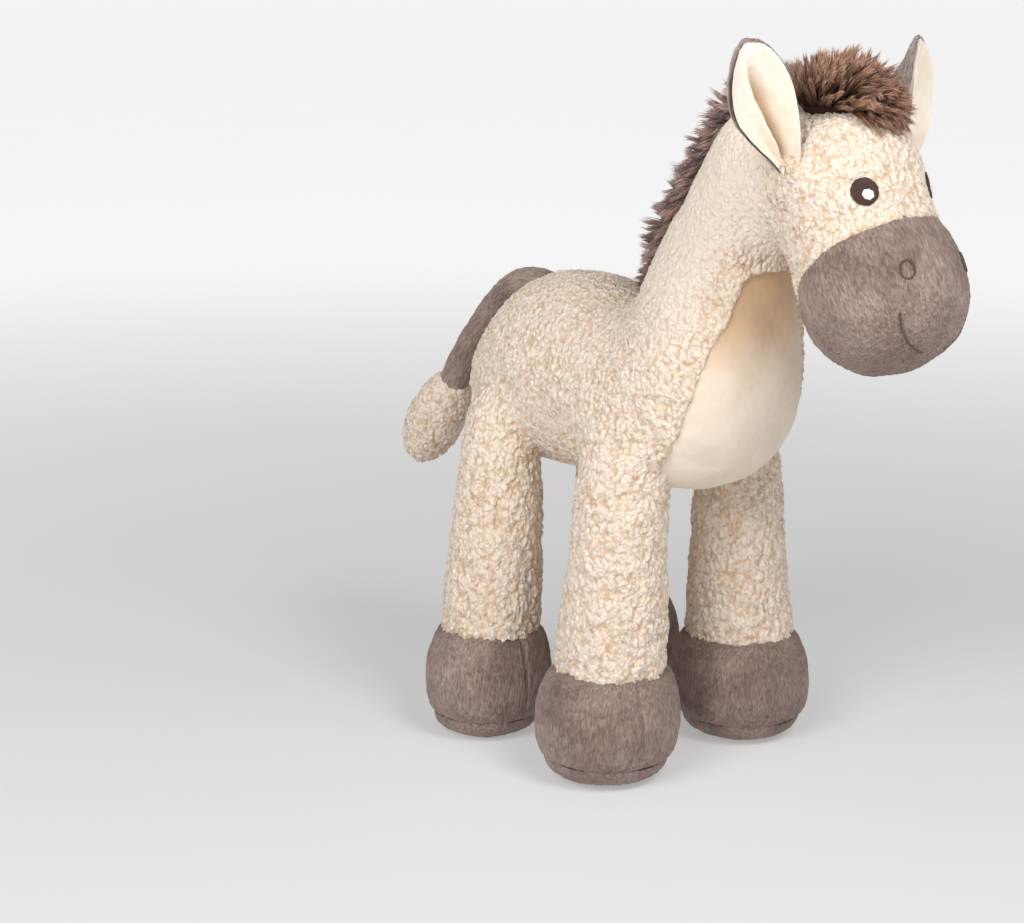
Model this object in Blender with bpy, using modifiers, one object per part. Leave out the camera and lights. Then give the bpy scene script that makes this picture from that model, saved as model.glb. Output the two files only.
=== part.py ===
"""Standing plush horse: sewn covers over stuffing, with a nodding head, swinging legs, ears and a tail.

Metres, +Z up, +X towards the nose. The origin is on the floor, at the middle of the box round the horse.
Every form is lofted through hand-set stations. Covers are walls on those forms, stuffing lies inside them,
and each joint is a ball on the moving form that turns in a socket cut from its neighbour.
"""
import math

import bmesh
import bpy
import numpy as np
from mathutils import Matrix, Vector
from mathutils.bvhtree import BVHTree

# Cloth and clearances
COVER_WALL = 0.0030
TAIL_WALL = 0.0022
EAR_WALL = 0.0022
STITCH_THICKNESS = 0.0012
SEAM_GAP = 0.0003
JOINT_GAP = 0.0003
STUFFING_GAP = 0.0008
OVERRUN = 0.03
WELD = 0.00001

# Place of the hooves' middle in the part's frame, towards the tail
FOOTPRINT_BACK = 0.0298

# Body and neck, which lie about the height of the hips
BODY_LENGTH = 0.215
BODY_DEPTH = 0.105
BODY_HALF_WIDTH = 0.052
NECK_BALL_RADIUS = 0.034
NECK_LEAN = math.radians(56)

# Head, along its axis from the top of the crown ball to the tip of the muzzle
HEAD_AHEAD_OF_NECK = 0.038
HEAD_BELOW_NECK = 0.009
HEAD_RADIUS = 0.0395
HEAD_LENGTH = 0.1325
HEAD_DROOP = math.radians(60)
MUZZLE_SEAM_SLOPE = math.radians(49)
MUZZLE_SEAM_BOW_RADIUS = 0.14

# Embroidery
EYE_RADIUS = 0.0065
HIGHLIGHT_RADIUS = 0.0021
HIGHLIGHT_ASIDE = 0.0019
NOSTRIL_RADIUS = 0.0038
THREAD_RADIUS = 0.0008

# Legs, from the floor up
HIP_HEIGHT = 0.166
HOOF_ASIDE = 0.052
FRONT_HIP_RADIUS = 0.0205
FRONT_LEG_RADIUS = 0.0258
FRONT_HOOF_RADIUS = 0.0365
REAR_HIP_RADIUS = 0.0195
REAR_LEG_RADIUS = 0.0240
REAR_HOOF_RADIUS = 0.0330
HOOF_TOP_HEIGHT = 0.059
SOLE_SEAM_HEIGHT = 0.012
SOLE_FLAT_DEPTH = 0.0005

# Tail
TAIL_RADIUS = 0.0083
TAIL_DROP = 0.070
TAIL_REACH = 0.081
TUFT_LENGTH = 0.064
TUFT_RADIUS = 0.0158
TUFT_OVERLAP = 0.004
TUFT_SLOPE = math.radians(57)

# Ears
EAR_LENGTH = 0.0645
EAR_HALF_WIDTH = 0.0190
EAR_CUP_DEPTH = 0.0100
EAR_LEAN = math.radians(26)
EAR_FACING = math.radians(74)

# Forelock and mane
FORELOCK_HALF_LENGTH = 0.037
FORELOCK_HALF_WIDTH = 0.024
FORELOCK_HALF_HEIGHT = 0.027
MANE_HALF_WIDTH = 0.0095
MANE_RISE = 0.0155
MANE_SINK = 0.004

# How far the joints turn
LEG_SWING_OUT = math.radians(12)
LEG_SWING_IN = math.radians(8)
HEAD_NOD = math.radians(12)
EAR_FOLD_IN = math.radians(10)
EAR_FOLD_OUT = math.radians(30)
TAIL_LIFT = math.radians(60)
TUFT_FLEX = math.radians(25)

# Facets round each form, and rings along the covers for each station
COVER_STEPS = 2
BODY_COLUMNS = 22
HEAD_COLUMNS = 20
LEG_COLUMNS = 16
STUFFING_COLUMNS = 14
LEG_STUFFING_COLUMNS = 10
TAIL_COLUMNS = 10
TUFT_COLUMNS = 12
CLEARANCE_COLUMNS = 20
MANE_COLUMNS = 12
FORELOCK_COLUMNS = 20
HIP_DOME_SLICES = 4
TAIL_DOME_SLICES = 3
SEAM_FACETS = 96
STITCH_FACETS = 24
RING_FACETS = 16
THREAD_FACETS = 6

CREAM_SHERPA = (0.80, 0.66, 0.50)
CREAM_VELOUR = (0.74, 0.60, 0.42)
CREAM_PILE = (0.86, 0.76, 0.58)
TAUPE_MINKY = (0.27, 0.20, 0.17)
BROWN_PILE = (0.20, 0.13, 0.11)
BROWN_THREAD = (0.07, 0.035, 0.03)
WHITE_THREAD = (0.90, 0.88, 0.84)
WHITE_FIBRE = (0.90, 0.90, 0.88)

# Side view: back along, back up, belly along, belly up, half-width, how pear-shaped
BODY_STATION_SHARES = (
    (-0.392, 0.371, -0.39, 0.1, 0.34, 0),
    (-0.352, 0.51, -0.345, -0.052, 0.62, 0),
    (-0.282, 0.662, -0.262, -0.143, 0.83, 0.06),
    (-0.19, 0.771, -0.15, -0.176, 0.94, 0.1),
    (-0.07, 0.8, -0.03, -0.183, 1, 0.08),
    (0.046, 0.771, 0.13, -0.186, 1.03, 0.08),
    (0.11, 0.752, 0.3, -0.176, 1.06, 0.12),
    (0.152, 0.764, 0.425, -0.105, 1.04, 0.12),
    (0.178, 0.819, 0.512, 0.074, 0.97, 0.08),
    (0.202, 0.907, 0.555, 0.324, 0.87, 0.04),
    (0.232, 1.033, 0.562, 0.574, 0.77, 0),
    (0.268, 1.169, 0.553, 0.8, 0.68, 0),
    (0.316, 1.312, 0.565, 0.99, 0.62, 0),
    (0.37, 1.479, 0.612, 1.145, 0.63, 0),
)
RUMP_POLE_SHARES = (-0.404, 0.24)
NECK_TOP_SHARES = (0.5581, 1.4762)
TAIL_ROOT_SHARES = (-0.2233, 0.7333)
FRONT_LEG_SHARE = 0.2605
REAR_LEG_SHARE = -0.1767
HIP_ASIDE_SHARE = 0.827
NECK_SWEEP_STATIONS = 3
NECK_DOME_SLICES = 3

# Belly gusset seam in the side view: along, up
GUSSET_SEAM_SHARES = (
    (0.64, 0.99), (0.535, 0.943), (0.505, 0.705), (0.47, 0.419), (0.42, 0.133), (0.33, -0.069),
    (0.18, -0.124), (0, -0.129), (-0.2, -0.124), (-0.3, -0.152),
)

# Head: along its axis, radius
HEAD_STATION_SHARES = (
    (0.085, 0.70), (0.190, 0.93), (0.300, 0.99), (0.400, 0.96), (0.500, 0.92),
    (0.590, 0.96), (0.700, 1.00), (0.800, 0.95), (0.890, 0.79), (0.960, 0.525),
)
MUZZLE_SEAM_SHARE = 0.550
MUZZLE_BALL_SHARE = 0.700

# From the middle of the crown ball: ahead, aside, up
EAR_ROOT_SHARES = (-0.177, 0.848, 0.329)
FORELOCK_SHARES = (-0.051, 0.0, 0.937)

# Legs: height as a share of the hip's, radius
SLEEVE_STATION_SHARES = ((0.87, 0.885), (0.70, 0.95), (0.55, 1.00), (0.40, 1.05))
HOOF_STATION_SHARES = (
    (0.325, 0.87), (0.240, 0.99), (0.150, 1.00), (0.085, 0.92), (0.034, 0.76), (0.006, 0.46),
)

TAIL_PATH_SHARES = ((0.16, 0.0), (0.345, 0.105), (0.545, 0.295), (0.72, 0.53), (0.88, 0.78), (1.0, 1.0))
TUFT_STATION_SHARES = ((0.05, 0.52), (0.16, 0.80), (0.36, 0.98), (0.58, 1.0), (0.78, 0.84), (0.93, 0.50))

# Ears: along, half-width, cup
EAR_STATION_SHARES = (
    (0.0, 0.38, 0.75), (0.12, 0.60, 1.0), (0.30, 0.88, 1.0), (0.50, 1.0, 0.85),
    (0.70, 0.92, 0.65), (0.85, 0.70, 0.45), (0.95, 0.42, 0.25), (1.0, 0.16, 0.10),
)
EAR_ROOT_STATIONS = 3
EAR_ACROSS_SHARES = (-1.0, -0.75, -0.5, -0.25, 0.0, 0.25, 0.5, 0.75, 1.0)

# Which rings take part where
MANE_FIRST_RING = 15
TAIL_ROOT_RINGS = 5
TAIL_END_RINGS = 4
HIP_ROOM_SHARE = 0.68

# Mane, from the withers up: rise at even steps
MANE_RISE_SHARES = (0.45, 0.80, 1.0, 1.0, 0.95, 1.0, 0.95, 0.90, 0.60)

# Face, as turns from straight ahead and up
EYE_TURN = math.radians(36)
EYE_TILT = math.radians(4)
NOSTRIL_TURN = math.radians(34)
NOSTRIL_TILT = math.radians(22)
SMILE_TURN = math.radians(39)
SMILE_TILT = math.radians(-6)
SMILE_SAG = math.radians(34)
SMILE_POINTS = 13


def at(along, aside, up):
    """A point, from the middle of the hooves on the floor."""
    return Vector((along - FOOTPRINT_BACK, aside, up))


def on_body(along, up):
    """A point in the middle plane, in shares of the body's length and depth."""
    return at(along * BODY_LENGTH, 0, HIP_HEIGHT + up * BODY_DEPTH)


def turned(angle):
    """The direction in the side view, tilted up from the nose's by the angle."""
    return Vector((math.cos(angle), 0, math.sin(angle)))


ACROSS = Vector((0, 1, 0))
UPWARDS = Vector((0, 0, 1))
AHEAD = Vector((1, 0, 0))
QUARTER_TURN = math.pi / 2
NECK_TOP = on_body(*NECK_TOP_SHARES)
NECK_AXIS = turned(NECK_LEAN)
HEAD_CENTRE = NECK_TOP + Vector((HEAD_AHEAD_OF_NECK, 0, -HEAD_BELOW_NECK))
HEAD_AXIS = turned(-HEAD_DROOP)
CROWN = HEAD_CENTRE - HEAD_RADIUS * HEAD_AXIS
MUZZLE_CENTRE = CROWN + MUZZLE_BALL_SHARE * HEAD_LENGTH * HEAD_AXIS
HIP_ASIDE = HIP_ASIDE_SHARE * BODY_HALF_WIDTH
TAIL_ROOT = on_body(*TAIL_ROOT_SHARES)
TAIL_END = TAIL_ROOT + Vector((-TAIL_REACH, 0, -TAIL_DROP))
TUFT_AXIS = turned(math.pi + TUFT_SLOPE)


def smooth(rows, steps):
    """The rows with steps - 1 more between each two, on a Catmull-Rom curve."""
    rows = np.array(rows, float)
    padded = np.vstack([2 * rows[0] - rows[1], rows, 2 * rows[-1] - rows[-2]])
    curve = []
    for first in range(len(rows) - 1):
        a, b, c, d = padded[first:first + 4]
        for step in range(steps):
            t = step / steps
            curve.append(0.5 * (2 * b + (c - a) * t + (2 * a - 5 * b + 4 * c - d) * t * t
                                + (3 * b - a - 3 * c + d) * t ** 3))
    curve.append(rows[-1])
    return np.array(curve).tolist()


def oval(centre, up, half_width, columns, pear=0.0):
    """A ring of points: up holds its half-height and direction, and a pear is wider below than above."""
    turns = [2 * math.pi * column / columns for column in range(columns)]
    return [centre + math.cos(turn) * up + math.sin(turn) * (1 - pear * math.cos(turn)) * half_width * ACROSS
            for turn in turns]


def dome(centre, axis, up, radius, slices, columns):
    """Rings of a half ball, from beside its pole on the axis to its widest."""
    rings = []
    for step in range(1, slices + 1):
        angle = QUARTER_TURN * step / slices
        middle = centre + radius * math.cos(angle) * axis
        rings.append(oval(middle, radius * math.sin(angle) * up, radius * math.sin(angle), columns))
    return rings


def skin(rings, start=None, end=None):
    """A mesh over the rings, closed with a point at each end that has one."""
    mesh = bmesh.new()
    rows = [[mesh.verts.new(point) for point in ring] for ring in rings]
    count = len(rows[0])
    for row, following in zip(rows, rows[1:]):
        for i in range(count):
            mesh.faces.new((row[i], row[(i + 1) % count], following[(i + 1) % count], following[i]))
    for pole, row in ((start, rows[0]), (end, rows[-1])):
        if pole is not None:
            tip = mesh.verts.new(pole)
            for i in range(count):
                mesh.faces.new((tip, row[i], row[(i + 1) % count]))
    bmesh.ops.recalc_face_normals(mesh, faces=mesh.faces)
    return mesh


def grown(mesh, distance):
    """The mesh moved out by the distance along its normals, or in where it is negative."""
    mesh.normal_update()
    moves = [(vert, vert.normal * vert.calc_shell_factor() * distance) for vert in mesh.verts]
    for vert, move in moves:
        vert.co += move
    return mesh


def hull(points):
    """The tightest convex skin round the points."""
    mesh = bmesh.new()
    for point in points:
        mesh.verts.new(point)
    found = bmesh.ops.convex_hull(mesh, input=mesh.verts)
    unused = found["geom_interior"] + found["geom_unused"]
    inside = {item for item in unused if isinstance(item, bmesh.types.BMVert)}
    bmesh.ops.delete(mesh, geom=list(inside), context="VERTS")
    bmesh.ops.recalc_face_normals(mesh, faces=mesh.faces)
    return mesh


def swung_hull(ball, points, pivot, axis, angles):
    """The room for a ball and for what the points sweep when they turn about the axis through its middle."""
    swept = list(ball)
    for angle in angles:
        turn = Matrix.Translation(pivot) @ Matrix.Rotation(angle, 4, axis) @ Matrix.Translation(-pivot)
        swept += [turn @ point for point in points]
    return hull(swept)


def cloth(name, colour, roughness=0.95):
    material = bpy.data.materials.new(name)
    material.use_nodes = True
    surface = material.node_tree.nodes["Principled BSDF"]
    surface.inputs["Base Color"].default_value = (*colour, 1)
    surface.inputs["Roughness"].default_value = roughness
    surface.inputs["Metallic"].default_value = 0
    return material


def pivot(name, place, carrier=None):
    """An empty on a joint's axis, which carries what the joint moves."""
    empty = bpy.data.objects.new(name, None)
    PARTS.objects.link(empty)
    empty.location = place - (carrier.matrix_world.translation if carrier else Vector())
    empty.parent = carrier
    bpy.context.view_layer.update()
    return empty


def piece(name, mesh, colour, carrier=None):
    """A sub-part: the mesh, in a material of its own, carried by an empty."""
    if carrier:
        mesh.transform(carrier.matrix_world.inverted())
    data = bpy.data.meshes.new(name)
    mesh.to_mesh(data)
    mesh.free()
    data.shade_smooth()
    data.materials.append(cloth(name + "_cloth", colour))
    made = bpy.data.objects.new(name, data)
    made.parent = carrier
    PARTS.objects.link(made)
    return made


def cutter(name, mesh):
    data = bpy.data.meshes.new(name)
    mesh.to_mesh(data)
    mesh.free()
    made = bpy.data.objects.new(name, data)
    made.hide_render = True
    made.display_type = "WIRE"
    CUTTERS.objects.link(made)
    return made


def box(low, high):
    """A box mesh between two corners."""
    mesh = bmesh.new()
    bmesh.ops.create_cube(mesh, size=1)
    middle = (low + high) / 2
    bmesh.ops.scale(mesh, vec=high - low, verts=mesh.verts)
    bmesh.ops.translate(mesh, vec=middle, verts=mesh.verts)
    return mesh


def thicken(made, wall, offset=-1):
    shell = made.modifiers.new("Wall", "SOLIDIFY")
    shell.thickness = wall
    shell.offset = offset
    shell.use_even_offset = True
    return made


def combine(made, tools, operation="DIFFERENCE"):
    for tool in tools:
        change = made.modifiers.new(tool.name, "BOOLEAN")
        change.operation = operation
        change.solver = "EXACT"
        change.object = tool
    return made


def body_rings(columns, steps=COVER_STEPS, spare=0.0):
    rings = []
    for back_along, back_up, belly_along, belly_up, width, pear in smooth(BODY_STATION_SHARES, steps):
        back = on_body(back_along, back_up)
        belly = on_body(belly_along, belly_up)
        half = (back - belly) / 2
        half += half.normalized() * spare
        rings.append(oval((back + belly) / 2, half, width * BODY_HALF_WIDTH + spare, columns, pear))
    return rings


def body_form(columns, steps=COVER_STEPS):
    """Rump, barrel, chest and neck in one form, with the ball that the head turns on at its top."""
    nape = turned(NECK_LEAN + QUARTER_TURN)
    top = dome(NECK_TOP, NECK_AXIS, nape, NECK_BALL_RADIUS, NECK_DOME_SLICES, columns)
    pole = NECK_TOP + NECK_BALL_RADIUS * NECK_AXIS
    return skin(body_rings(columns, steps) + top[::-1], on_body(*RUMP_POLE_SHARES), pole)


def head_form(columns, steps=COVER_STEPS):
    """The crown ball and the muzzle ball, drawn in where they are sewn together."""
    brow = turned(QUARTER_TURN - HEAD_DROOP)
    rings = []
    for along, radius in smooth(HEAD_STATION_SHARES, steps):
        middle = CROWN + along * HEAD_LENGTH * HEAD_AXIS
        rings.append(oval(middle, radius * HEAD_RADIUS * brow, radius * HEAD_RADIUS, columns))
    return skin(rings, CROWN, CROWN + HEAD_LENGTH * HEAD_AXIS)


def leg_rings(hip, sizes, columns, steps, spare=0.0):
    """Rings down a leg, whose sizes are the radii of its hip ball, sleeve and hoof."""
    hip_radius, leg_radius, hoof_radius = sizes
    side = math.copysign(1, hip.y)
    rings = dome(hip, UPWARDS, AHEAD, hip_radius + spare, HIP_DOME_SLICES, columns)
    stations = [(1.0, hip_radius)]
    stations += [(share, radius * leg_radius) for share, radius in SLEEVE_STATION_SHARES]
    stations += [(share, radius * hoof_radius) for share, radius in HOOF_STATION_SHARES]
    for share, radius in smooth(stations, steps)[1:]:
        aside = HIP_ASIDE + (1 - share) * (HOOF_ASIDE - HIP_ASIDE)
        middle = Vector((hip.x, side * aside, share * HIP_HEIGHT))
        rings.append(oval(middle, (radius + spare) * AHEAD, radius + spare, columns))
    return rings


def leg_form(hip, sizes, columns, steps):
    """One leg from the hip ball down to the sole."""
    sole = Vector((hip.x, math.copysign(HOOF_ASIDE, hip.y), -SOLE_FLAT_DEPTH))
    return skin(leg_rings(hip, sizes, columns, steps), hip + sizes[0] * UPWARDS, sole)


def tail_rings(columns, steps, radius):
    """Rings along the tail, from inside its root to its end."""
    path = [(0.0, 0.0)] + list(TAIL_PATH_SHARES)
    points = []
    for reach, drop in smooth(path, steps):
        points.append(TAIL_ROOT - Vector((reach * TAIL_REACH, 0, drop * TAIL_DROP)))
    rings = []
    for i, point in enumerate(points):
        run = points[min(i + 1, len(points) - 1)] - points[max(i - 1, 0)]
        outward = Vector((run.z, 0, -run.x)).normalized()
        rings.append(oval(point, radius * outward, radius, columns))
    first = (points[1] - points[0]).normalized()
    last = (points[-1] - points[-2]).normalized()
    root = dome(points[0], -first, Vector((first.z, 0, -first.x)), radius, TAIL_DOME_SLICES, columns)
    end = dome(points[-1], last, Vector((last.z, 0, -last.x)), radius, TAIL_DOME_SLICES, columns)
    return root[:-1] + rings + end[::-1][1:], points[0] - radius * first, points[-1] + radius * last


def tuft_form(columns, steps):
    start = TAIL_END - TUFT_OVERLAP * TUFT_AXIS
    outward = turned(math.pi + TUFT_SLOPE - QUARTER_TURN)
    rings = []
    for along, radius in smooth(TUFT_STATION_SHARES, steps):
        middle = start + along * TUFT_LENGTH * TUFT_AXIS
        rings.append(oval(middle, radius * TUFT_RADIUS * outward, radius * TUFT_RADIUS, columns))
    return skin(rings, start, start + TUFT_LENGTH * TUFT_AXIS)


def ear_frame(side):
    """The ear's root, and its directions up its length, across its width and out of its cup."""
    ahead, aside, up = EAR_ROOT_SHARES
    root = HEAD_CENTRE + HEAD_RADIUS * Vector((ahead, side * aside, up))
    along = Vector((0, side * math.sin(EAR_LEAN), math.cos(EAR_LEAN)))
    facing = Vector((math.sin(EAR_FACING), side * math.cos(EAR_FACING), 0))
    across = along.cross(facing).normalized()
    return root, along, across, across.cross(along).normalized()


def ear_leaf(side, lift, spare=0.0):
    """The ear's cupped leaf as an open surface, lifted out of the cup."""
    root, along, across, facing = ear_frame(side)
    mesh = bmesh.new()
    rows = []
    for length, width, cup in EAR_STATION_SHARES:
        row = []
        for share in EAR_ACROSS_SHARES:
            aside = share * (width * EAR_HALF_WIDTH + spare)
            depth = cup * EAR_CUP_DEPTH * share * share
            row.append(mesh.verts.new(root + length * EAR_LENGTH * along + aside * across + depth * facing))
        rows.append(row)
    for row, following in zip(rows, rows[1:]):
        for i in range(len(row) - 1):
            mesh.faces.new((row[i], row[i + 1], following[i + 1], following[i]))
    mesh.normal_update()
    if sum((face.normal for face in mesh.faces), Vector()).dot(facing) < 0:
        bmesh.ops.reverse_faces(mesh, faces=mesh.faces)
    return grown(mesh, lift)


def clearing(radius, gap):
    """A radius that keeps the gap clear of the facets of a ball that turns inside it."""
    half_facet = math.pi / CLEARANCE_COLUMNS
    return (radius + gap) / math.cos(half_facet) ** 2


def ball_clearance(centre, radius):
    """The points of a whole ball round a joint's centre, JOINT_GAP larger than the ball that turns in it."""
    reach = clearing(radius, JOINT_GAP)
    slices = CLEARANCE_COLUMNS // 4
    upper = dome(centre, UPWARDS, AHEAD, reach, slices, CLEARANCE_COLUMNS)
    lower = dome(centre, -UPWARDS, AHEAD, reach, slices, CLEARANCE_COLUMNS)
    points = [point for ring in upper + lower for point in ring]
    return points + [centre + reach * UPWARDS, centre - reach * UPWARDS]


def hip_clearance(hip, sizes, swing):
    """The room that a swinging leg needs in the body."""
    spare = clearing(sizes[0], JOINT_GAP) - sizes[0]
    rings = leg_rings(hip, sizes, CLEARANCE_COLUMNS, 1, spare)
    heights = (HIP_ROOM_SHARE * HIP_HEIGHT, HIP_HEIGHT)
    points = [point for ring in rings for point in ring if heights[0] < point.z < heights[1]]
    return swung_hull(ball_clearance(hip, sizes[0]), points, hip, "Y", swing)


def neck_clearance():
    """The room that the neck needs in the nodding head."""
    spare = clearing(NECK_BALL_RADIUS, JOINT_GAP) - NECK_BALL_RADIUS
    rings = body_rings(CLEARANCE_COLUMNS, spare=spare)[-NECK_SWEEP_STATIONS:]
    points = [point for ring in rings for point in ring]
    ball = ball_clearance(NECK_TOP, NECK_BALL_RADIUS)
    return swung_hull(ball, points, NECK_TOP, "Y", (-HEAD_NOD, HEAD_NOD))


def ear_clearance(side):
    """The room that a folding ear's root needs in the head."""
    root, along, across, facing = ear_frame(side)
    count = EAR_ROOT_STATIONS * len(EAR_ACROSS_SHARES)
    points = []
    for lift in (EAR_WALL + SEAM_GAP + JOINT_GAP, -EAR_WALL - JOINT_GAP):
        leaf = ear_leaf(side, lift, JOINT_GAP)
        leaf.verts.ensure_lookup_table()
        for vert in leaf.verts[:count]:
            points += [vert.co.copy(), vert.co - JOINT_GAP * along]
        leaf.free()
    return swung_hull([], points, root, across, (-EAR_FOLD_IN, EAR_FOLD_IN, EAR_FOLD_OUT))


def tail_clearance(place, rings, angles):
    """The room that a ball end of the tail and the tube beside it need."""
    points = [point for ring in rings for point in ring]
    return swung_hull(ball_clearance(place, TAIL_RADIUS), points, place, "Y", angles)


def seam_prism(gap):
    """The space below and ahead of the belly gusset's seam, its seam moved out by the gap."""
    seam = [on_body(along, up).xz for along, up in GUSSET_SEAM_SHARES]
    moved = []
    for i, point in enumerate(seam):
        run = (seam[min(i + 1, len(seam) - 1)] - seam[max(i - 1, 0)]).normalized()
        moved.append(point + gap * Vector((run.y, -run.x)))
    outline = moved + [Vector((moved[-1].x, 0)), Vector((moved[0].x + OVERRUN, 0)),
                       Vector((moved[0].x + OVERRUN, moved[0].y))]
    mesh = bmesh.new()
    reach = BODY_HALF_WIDTH + OVERRUN
    near = mesh.faces.new([mesh.verts.new((point.x, -reach, point.y)) for point in outline])
    pulled = bmesh.ops.extrude_face_region(mesh, geom=[near])
    far = [item for item in pulled["geom"] if isinstance(item, bmesh.types.BMVert)]
    bmesh.ops.translate(mesh, vec=2 * reach * ACROSS, verts=far)
    bmesh.ops.recalc_face_normals(mesh, faces=mesh.faces)
    return mesh


def muzzle_prism(gap):
    """A drum along the seam of the muzzle, which bows the seam up at the cheeks."""
    seam = CROWN + MUZZLE_SEAM_SHARE * HEAD_LENGTH * HEAD_AXIS
    middle = seam + MUZZLE_SEAM_BOW_RADIUS * turned(-MUZZLE_SEAM_SLOPE)
    mesh = bmesh.new()
    bmesh.ops.create_cone(mesh, cap_ends=True, segments=SEAM_FACETS, radius1=MUZZLE_SEAM_BOW_RADIUS + gap,
                          radius2=MUZZLE_SEAM_BOW_RADIUS + gap, depth=2 * (HEAD_RADIUS + OVERRUN))
    mesh.transform(Matrix.Translation(middle) @ Matrix.Rotation(QUARTER_TURN, 4, "X"))
    return mesh


def face_direction(turn, tilt, side):
    return Vector((math.cos(tilt) * math.cos(turn), side * math.cos(tilt) * math.sin(turn), math.sin(tilt)))


def face_place(middle, direction):
    """Where a line from inside the head meets its form."""
    form = head_form(HEAD_COLUMNS)
    tree = BVHTree.FromBMesh(form)
    form.free()
    return tree.ray_cast(middle, direction)[0]


def facing_matrix(place, direction):
    return Matrix.Translation(place) @ direction.to_track_quat("Z", "Y").to_matrix().to_4x4()


def stitch_prism(place, direction, radius):
    mesh = bmesh.new()
    bmesh.ops.create_cone(mesh, cap_ends=True, segments=STITCH_FACETS, radius1=radius, radius2=radius,
                          depth=OVERRUN)
    mesh.transform(facing_matrix(place, direction))
    return mesh


def stitched_disc(name, prism, lift, thickness, colour):
    """Embroidery that hugs the head: the part of a layer over its form that lies within the prism."""
    layer = piece(name, grown(head_form(HEAD_COLUMNS), lift), colour, HEAD)
    thicken(layer, thickness, 1)
    return combine(layer, [cutter(name + "_outline", prism)], "INTERSECT")


def thread_ring(place, direction):
    bpy.ops.mesh.primitive_torus_add(major_segments=RING_FACETS, minor_segments=THREAD_FACETS,
                                     major_radius=NOSTRIL_RADIUS, minor_radius=THREAD_RADIUS)
    made = bpy.context.object
    mesh = bmesh.new()
    mesh.from_mesh(made.data)
    bpy.data.objects.remove(made)
    mesh.transform(facing_matrix(place, direction))
    return mesh


def thread_line(points):
    """A stitched line as a round thread with closed ends."""
    data = bpy.data.curves.new("thread", "CURVE")
    data.dimensions = "3D"
    data.bevel_depth = THREAD_RADIUS
    data.bevel_resolution = 1
    data.use_fill_caps = True
    spline = data.splines.new("POLY")
    spline.points.add(len(points) - 1)
    for target, point in zip(spline.points, points):
        target.co = (*point, 1)
    made = bpy.data.objects.new("thread", data)
    CUTTERS.objects.link(made)
    shaped = bpy.data.meshes.new_from_object(made.evaluated_get(bpy.context.evaluated_depsgraph_get()))
    mesh = bmesh.new()
    mesh.from_mesh(shaped)
    bpy.data.objects.remove(made)
    bmesh.ops.remove_doubles(mesh, verts=mesh.verts, dist=WELD)
    bmesh.ops.recalc_face_normals(mesh, faces=mesh.faces)
    return mesh


def smile_points():
    """The line of the mouth over the front of the muzzle, drawn down in the middle."""
    points = []
    for step in range(SMILE_POINTS):
        share = 2 * step / (SMILE_POINTS - 1) - 1
        tilt = SMILE_TILT - SMILE_SAG * math.sqrt(1 - share * share)
        direction = face_direction(SMILE_TURN * share, tilt, 1)
        points.append(face_place(MUZZLE_CENTRE, direction) + THREAD_RADIUS * direction)
    return points


def make_body():
    clearances = []
    for place, hip, sizes, swing in HIPS:
        clearances.append(cutter("hip_room_" + place, hip_clearance(hip, sizes, swing)))
    rings = tail_rings(TAIL_COLUMNS, 1, clearing(TAIL_RADIUS, JOINT_GAP))[0][:TAIL_ROOT_RINGS]
    clearances.append(cutter("tail_room", tail_clearance(TAIL_ROOT, rings, (0, TAIL_LIFT / 2, TAIL_LIFT))))

    cover = piece("body_cover", body_form(BODY_COLUMNS), CREAM_SHERPA)
    combine(thicken(cover, COVER_WALL), clearances + [cutter("above_gusset", seam_prism(SEAM_GAP / 2))])
    gusset = piece("belly_gusset", body_form(BODY_COLUMNS), CREAM_VELOUR)
    combine(thicken(gusset, COVER_WALL), clearances)
    combine(gusset, [cutter("gusset_outline", seam_prism(-SEAM_GAP / 2))], "INTERSECT")
    inner = grown(body_form(STUFFING_COLUMNS), -COVER_WALL - STUFFING_GAP)
    combine(piece("body_stuffing", inner, WHITE_FIBRE), clearances)


def make_mane():
    """A strip of long pile along the crest, from the withers to behind the ears."""
    rings = body_rings(BODY_COLUMNS)[MANE_FIRST_RING:]
    nape = turned(NECK_LEAN + QUARTER_TURN)
    rings += dome(NECK_TOP, NECK_AXIS, nape, NECK_BALL_RADIUS, NECK_DOME_SLICES, BODY_COLUMNS)[:0:-1]
    crest = [ring[0] for ring in rings]
    strip = []
    for i, point in enumerate(crest):
        step = i / (len(crest) - 1) * (len(MANE_RISE_SHARES) - 1)
        share = float(np.interp(step, range(len(MANE_RISE_SHARES)), MANE_RISE_SHARES))
        run = (crest[min(i + 1, len(crest) - 1)] - crest[max(i - 1, 0)]).normalized()
        outward = Vector((-run.z, 0, run.x))
        rise = share * MANE_RISE
        strip.append(oval(point + (rise - MANE_SINK) / 2 * outward, (rise + MANE_SINK) / 2 * outward,
                          math.sqrt(share) * MANE_HALF_WIDTH, MANE_COLUMNS))
    first = crest[0] + (crest[0] - crest[1]) / 2 + MANE_SINK / 2 * UPWARDS
    last = crest[-1] + (crest[-1] - crest[-2]) / 4 + MANE_SINK / 2 * UPWARDS
    mane = piece("mane", skin(strip, first, last), BROWN_PILE)
    combine(mane, [cutter("under_mane", grown(body_form(BODY_COLUMNS), SEAM_GAP))])


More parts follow.
